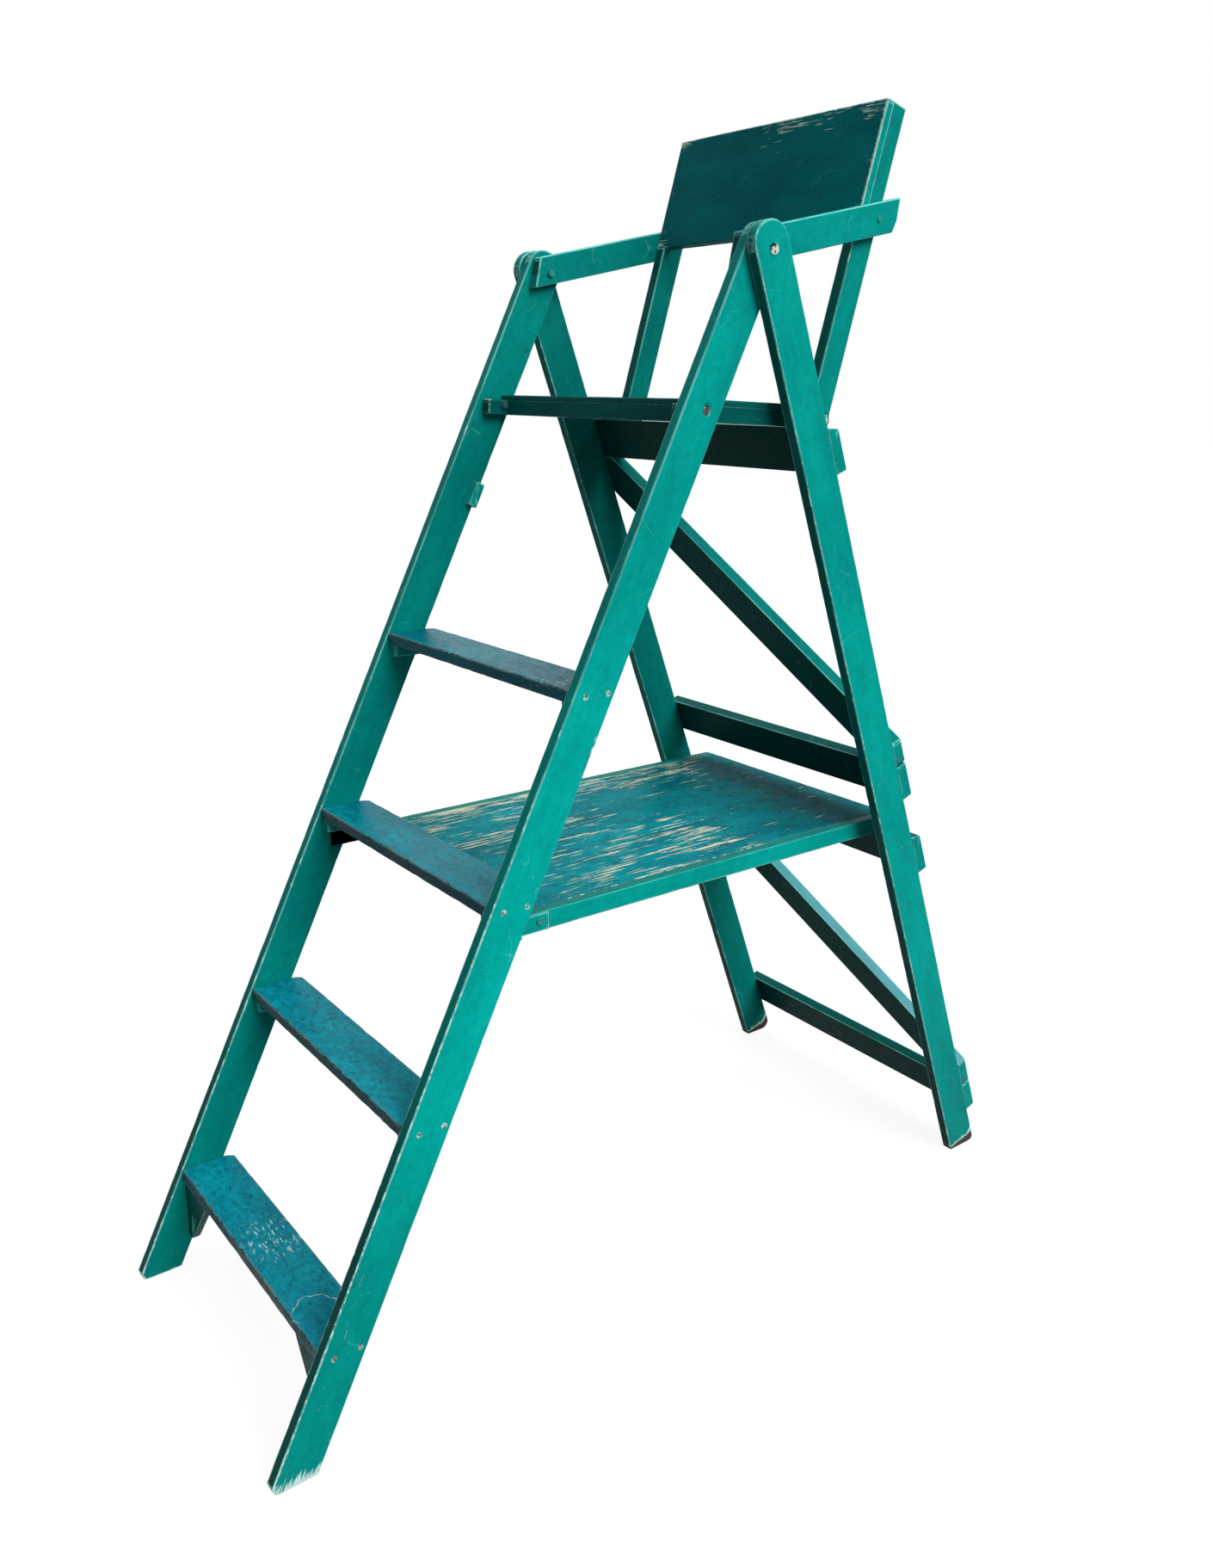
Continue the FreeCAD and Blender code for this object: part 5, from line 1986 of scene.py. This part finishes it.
    def set_out(self, name: str, spots: Sequence[Spot], head: Piece, radius: float,
                material: Material, tree: bpy.types.NodeTree, keys: dict[str, str]) -> Piece:
        """Set a head on each spot and keep the result as one plain mesh.

        Args:
            name: name of the piece.
            spots: place in mm about the axis, and the way each head faces.
            head: the pattern of one head.
            radius: head radius in mm.
            material: finish of the heads.
            tree: the node tree.
            keys: identifiers of its inputs.

        Returns:
            The finished object.
        """
        data = bpy.data.meshes.new(name + "_points")
        data.from_pydata([metres(spot) + way.normalized() * self.proud * MM for spot, way in spots], [], [])
        data.attributes.new("facing", "FLOAT_VECTOR", "POINT")
        data.attributes.new("spin", "FLOAT", "POINT")
        for index, (_, way) in enumerate(spots):
            data.attributes["facing"].data[index].vector = way
            data.attributes["spin"].data[index].value = self.turn_apart * index
        made = added(name, data)
        setter = made.modifiers.new("heads", "NODES")
        setter.node_group = tree
        setter[keys["Head"]] = head
        setter[keys["Head Radius"]] = radius * MM
        setter[keys["Radius Spread"]] = self.spread
        setter[keys["Finish"]] = material
        bpy.context.view_layer.update()
        graph = bpy.context.evaluated_depsgraph_get()
        solid = bpy.data.meshes.new_from_object(made.evaluated_get(graph), depsgraph=graph)
        made.modifiers.remove(setter)
        made.data = solid
        solid.name = name
        return made

    def build(self, ladder: FrontLadder, rear: RearFrame, seat: Seat, back: ArmsAndBack,
              deck: Platform) -> None:
        """Set out the screws and nails of every body.

        Args:
            ladder, rear, seat, back, deck: the timbers that the fasteners sit in.
        """
        tree, keys = self.tree()
        screw, pin = self.screw_head(), self.nail_head()
        rusty = self.paint.rusty

        def place(name: str, body: str, node: str, spots: Sequence[Spot], finish: Material) -> None:
            """Set out the screws or nails of one body, and settle them."""
            head, radius = (pin, self.nail_radius) if finish is rusty else (screw, self.head_radius)
            settle(self.set_out(name, spots, head, radius, finish, tree, keys), body, Slot.STEEL, node)

        spots = [(Vector((side.value * ladder.outer, ladder.front_edge(height) + offset,
                          height - self.tread_drop)), Vector((side.value, 0, 0)))
                 for height in ladder.tread_heights for side in Side for offset in self.tread_offsets]
        place("stile_screws", "ladder", "tread_screws", spots, self.paint.screw)
        middle = rear.inner + rear.thick / 2
        behind = rear.width / 2 + rear.rail_thick
        facing = rear.place(0, 0, 1) - rear.place(0, 0, 0)
        lows = [rear.down(bottom) for bottom in rear.rail_bottoms]
        marks = [(x, low - up) for low in lows for x in (-middle, middle) for up in self.rail_rises]
        for high, low in ((lows[0], lows[1] - rear.width), (lows[2], lows[3] - rear.width)):
            marks += [(-middle, high + self.brace_insets[0]), (middle, low - self.brace_insets[1])]
        spots = [(rear.place(x, down, behind), facing) for x, down in marks]
        place("leg_screws", "rear_frame", "rear_frame_screws", spots, self.paint.screw)
        lean = -math.radians(back.lean)
        top = back.board_below - back.board_length
        ahead = Vector((0, -math.cos(lean), -math.sin(lean)))
        middle = (back.post_inner + back.post_outer) / 2
        downs = (back.board_below - self.board_insets[0], back.board_below - back.board_length / 2,
                 top + self.board_insets[1])
        spots = [(Vector((side.value * middle, *leaning(back.bolt, lean, down, -back.post_width / 2))), ahead)
                 for side in Side for down in downs]
        place("back_screws", "backrest", "backrest_screws", spots, self.paint.hidden_screw)
        up = Vector((0, math.sin(math.radians(seat.slope)), math.cos(math.radians(seat.slope))))
        middle, above = (seat.inner + seat.outer) / 2, -seat.drop + seat.height + seat.board[2]
        length = seat.board[1] - seat.board[0] - 2 * self.seat_inset
        alongs = [seat.board[0] + self.seat_inset + step * length / (self.seat_nails - 1)
                  for step in range(self.seat_nails)]
        spots = [(Vector((side.value * middle, *sloping(seat.pivot, -seat.slope, along, above))), up)
                 for side in Side for along in alongs]
        place("seat_pins", "seat", "seat_nails", spots, rusty)
        inner, boards = deck.half_width - deck.side_thick, len(deck.board_names)
        width = 2 * inner / boards
        across = [-inner + width * (index + 0.5) + sign * (width / 2 - self.deck_inset)
                  for index in range(boards) for sign in (-1, 1)]
        spots = [(Vector((x, first + deck.batten[0] / 2, deck.top)), Z)
                 for first in deck.batten_starts.values() for x in across]
        place("deck_pins", "platform", "platform_nails", spots, rusty)
        for pattern in (screw, pin):
            bpy.data.objects.remove(pattern)


# Studio


@dataclass
class Studio:
    """Camera at the photograph's place, soft side light and a pale floor."""

    eye: Point3 = (1600.08, -1265.36, 1397.58)
    yaw: float = 0.652
    pitch: float = -0.268
    roll: float = 0.008
    focal: float = 1488.50
    centre: Point2 = (710.17, 857.88)
    frame_size: tuple[int, int] = (1410, 1822)
    sensor: float = 36.0
    sky: float = 0.22
    lamps: tuple[tuple[str, Point3, float, float], ...] = (
        ("key", (-0.85, -0.10, -0.50), 2.45, 35.0),
        ("top", (-0.1, -0.15, -1.0), 1.15, 60.0),
        ("side", (0.80, -0.30, -0.45), 0.45, 60.0),
    )
    # Radius and height of the floor's rings, in metres.
    floor_rings: tuple[Point2, ...] = ((3.0, -0.0006), (9.0, -0.0006), (14.0, 0.0), (20.0, 0.6))
    floor_sides: int = 48
    clip_end: float = 60.0

    def camera(self) -> None:
        """Make the camera and set it as the scene's."""
        data = bpy.data.cameras.new("photo_camera")
        data.sensor_width = self.sensor
        data.sensor_fit = "AUTO"
        tall = max(self.frame_size)
        data.lens = self.focal * self.sensor / tall
        data.shift_x = -(self.centre[0] - self.frame_size[0] / 2) / tall
        data.shift_y = (self.centre[1] - self.frame_size[1] / 2) / tall
        data.clip_end = self.clip_end
        camera = added("photo_camera", data)
        ahead = Vector((-math.cos(self.yaw) * math.cos(self.pitch), math.sin(self.yaw) * math.cos(self.pitch),
                        math.sin(self.pitch)))
        right = ahead.cross(Z).normalized()
        up = right.cross(ahead)
        turned = right * math.cos(self.roll) + up * math.sin(self.roll)
        above = up * math.cos(self.roll) - right * math.sin(self.roll)
        pose = Matrix((turned, above, -ahead)).transposed().to_4x4()
        pose.translation = metres(Vector(self.eye))
        camera.matrix_world = pose
        bpy.context.scene.camera = camera

    def lights(self) -> None:
        """Soft light from the sitter's left, with an even fill."""
        world = bpy.data.worlds.new("studio")
        bpy.context.scene.world = world
        world.use_nodes = True
        nodes, links = world.node_tree.nodes, world.node_tree.links
        nodes.clear()
        out = nodes.new("ShaderNodeOutputWorld")
        fill, white = nodes.new("ShaderNodeBackground"), nodes.new("ShaderNodeBackground")
        fill.inputs["Strength"].default_value = self.sky
        for shown in (fill, white):
            shown.inputs["Color"].default_value = (1.0, 1.0, 1.0, 1.0)
        path = nodes.new("ShaderNodeLightPath")
        most = nodes.new("ShaderNodeMath")
        mix = nodes.new("ShaderNodeMixShader")
        seen = nodes.new("ShaderNodeMath")
        most.operation = seen.operation = "MAXIMUM"
        for source, key, target, place in (
                (path, "Is Camera Ray", most, 0), (path, "Is Transmission Ray", most, 1), (most, 0, seen, 0),
                (path, "Is Glossy Ray", seen, 1), (seen, 0, mix, 0), (fill, 0, mix, 1), (white, 0, mix, 2),
                (mix, 0, out, "Surface")):
            links.new(source.outputs[key], target.inputs[place])
        for name, way, strength, angle in self.lamps:
            data = bpy.data.lights.new(name, "SUN")
            data.energy = strength
            data.angle = math.radians(angle)
            lamp = added(name, data)
            lamp.rotation_mode = "QUATERNION"
            lamp.rotation_quaternion = Vector(way).to_track_quat("-Z", "Y")

    def floor(self) -> None:
        """Large pale floor with a gently raised far rim."""
        mesh = bmesh.new()
        count = self.floor_sides
        hub = mesh.verts.new((0.0, 0.0, self.floor_rings[0][1]))
        last: list[Vert] = []
        for radius, height in self.floor_rings:
            row = round_ring(mesh, radius, height, count)
            if last:
                join_rings(mesh, last, row)
            else:
                for k in range(count):
                    mesh.faces.new((hub, row[k], row[(k + 1) % count]))
            last = row
        made = make_object("studio_floor", mesh, StudioFloor().material())

    def build(self) -> None:
        """Make the whole studio."""
        self.camera()
        self.lights()
        self.floor()
        bpy.context.scene.view_settings.view_transform = "Standard"


def dress_steel(paint: Palette) -> None:
    """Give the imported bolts, washers and nuts their finishes.

    Args:
        paint: the finishes of the chair.
    """
    finishes = {"apex_bolts": paint.steel, "apex_washers": paint.steel, "apex_nuts": paint.covered,
                "seat_pivot_bolts": paint.sunk, "seat_pivot_nuts": paint.dark_nut,
                "back_pivot_bolts": paint.covered, "back_pivot_nuts": paint.covered,
                "post_foot_bolts": paint.screw, "post_foot_nuts": paint.steel,
                "platform_pivot_bolts": paint.steel}
    for name, material in finishes.items():
        node = frame["nodes"][name]
        node.data.materials.clear()
        node.data.materials.append(material)
        for slot in node.material_slots:
            slot.material = material
        LOG.info("%s keeps its packed shape", name)


def main() -> None:
    """Build the studio and the chair."""
    logging.basicConfig(level=logging.INFO, format="%(message)s")
    Studio().build()
    paint = Palette()
    ladder = FrontLadder(paint)
    rear = RearFrame(paint)
    seat = Seat(paint)
    back = ArmsAndBack(paint)
    deck = Platform(paint)
    for part in (ladder, rear, seat, back, deck):
        part.build()
    Fasteners(paint).build(ladder, rear, seat, back, deck)
    dress_steel(paint)


if __name__ == "__main__":
    main()
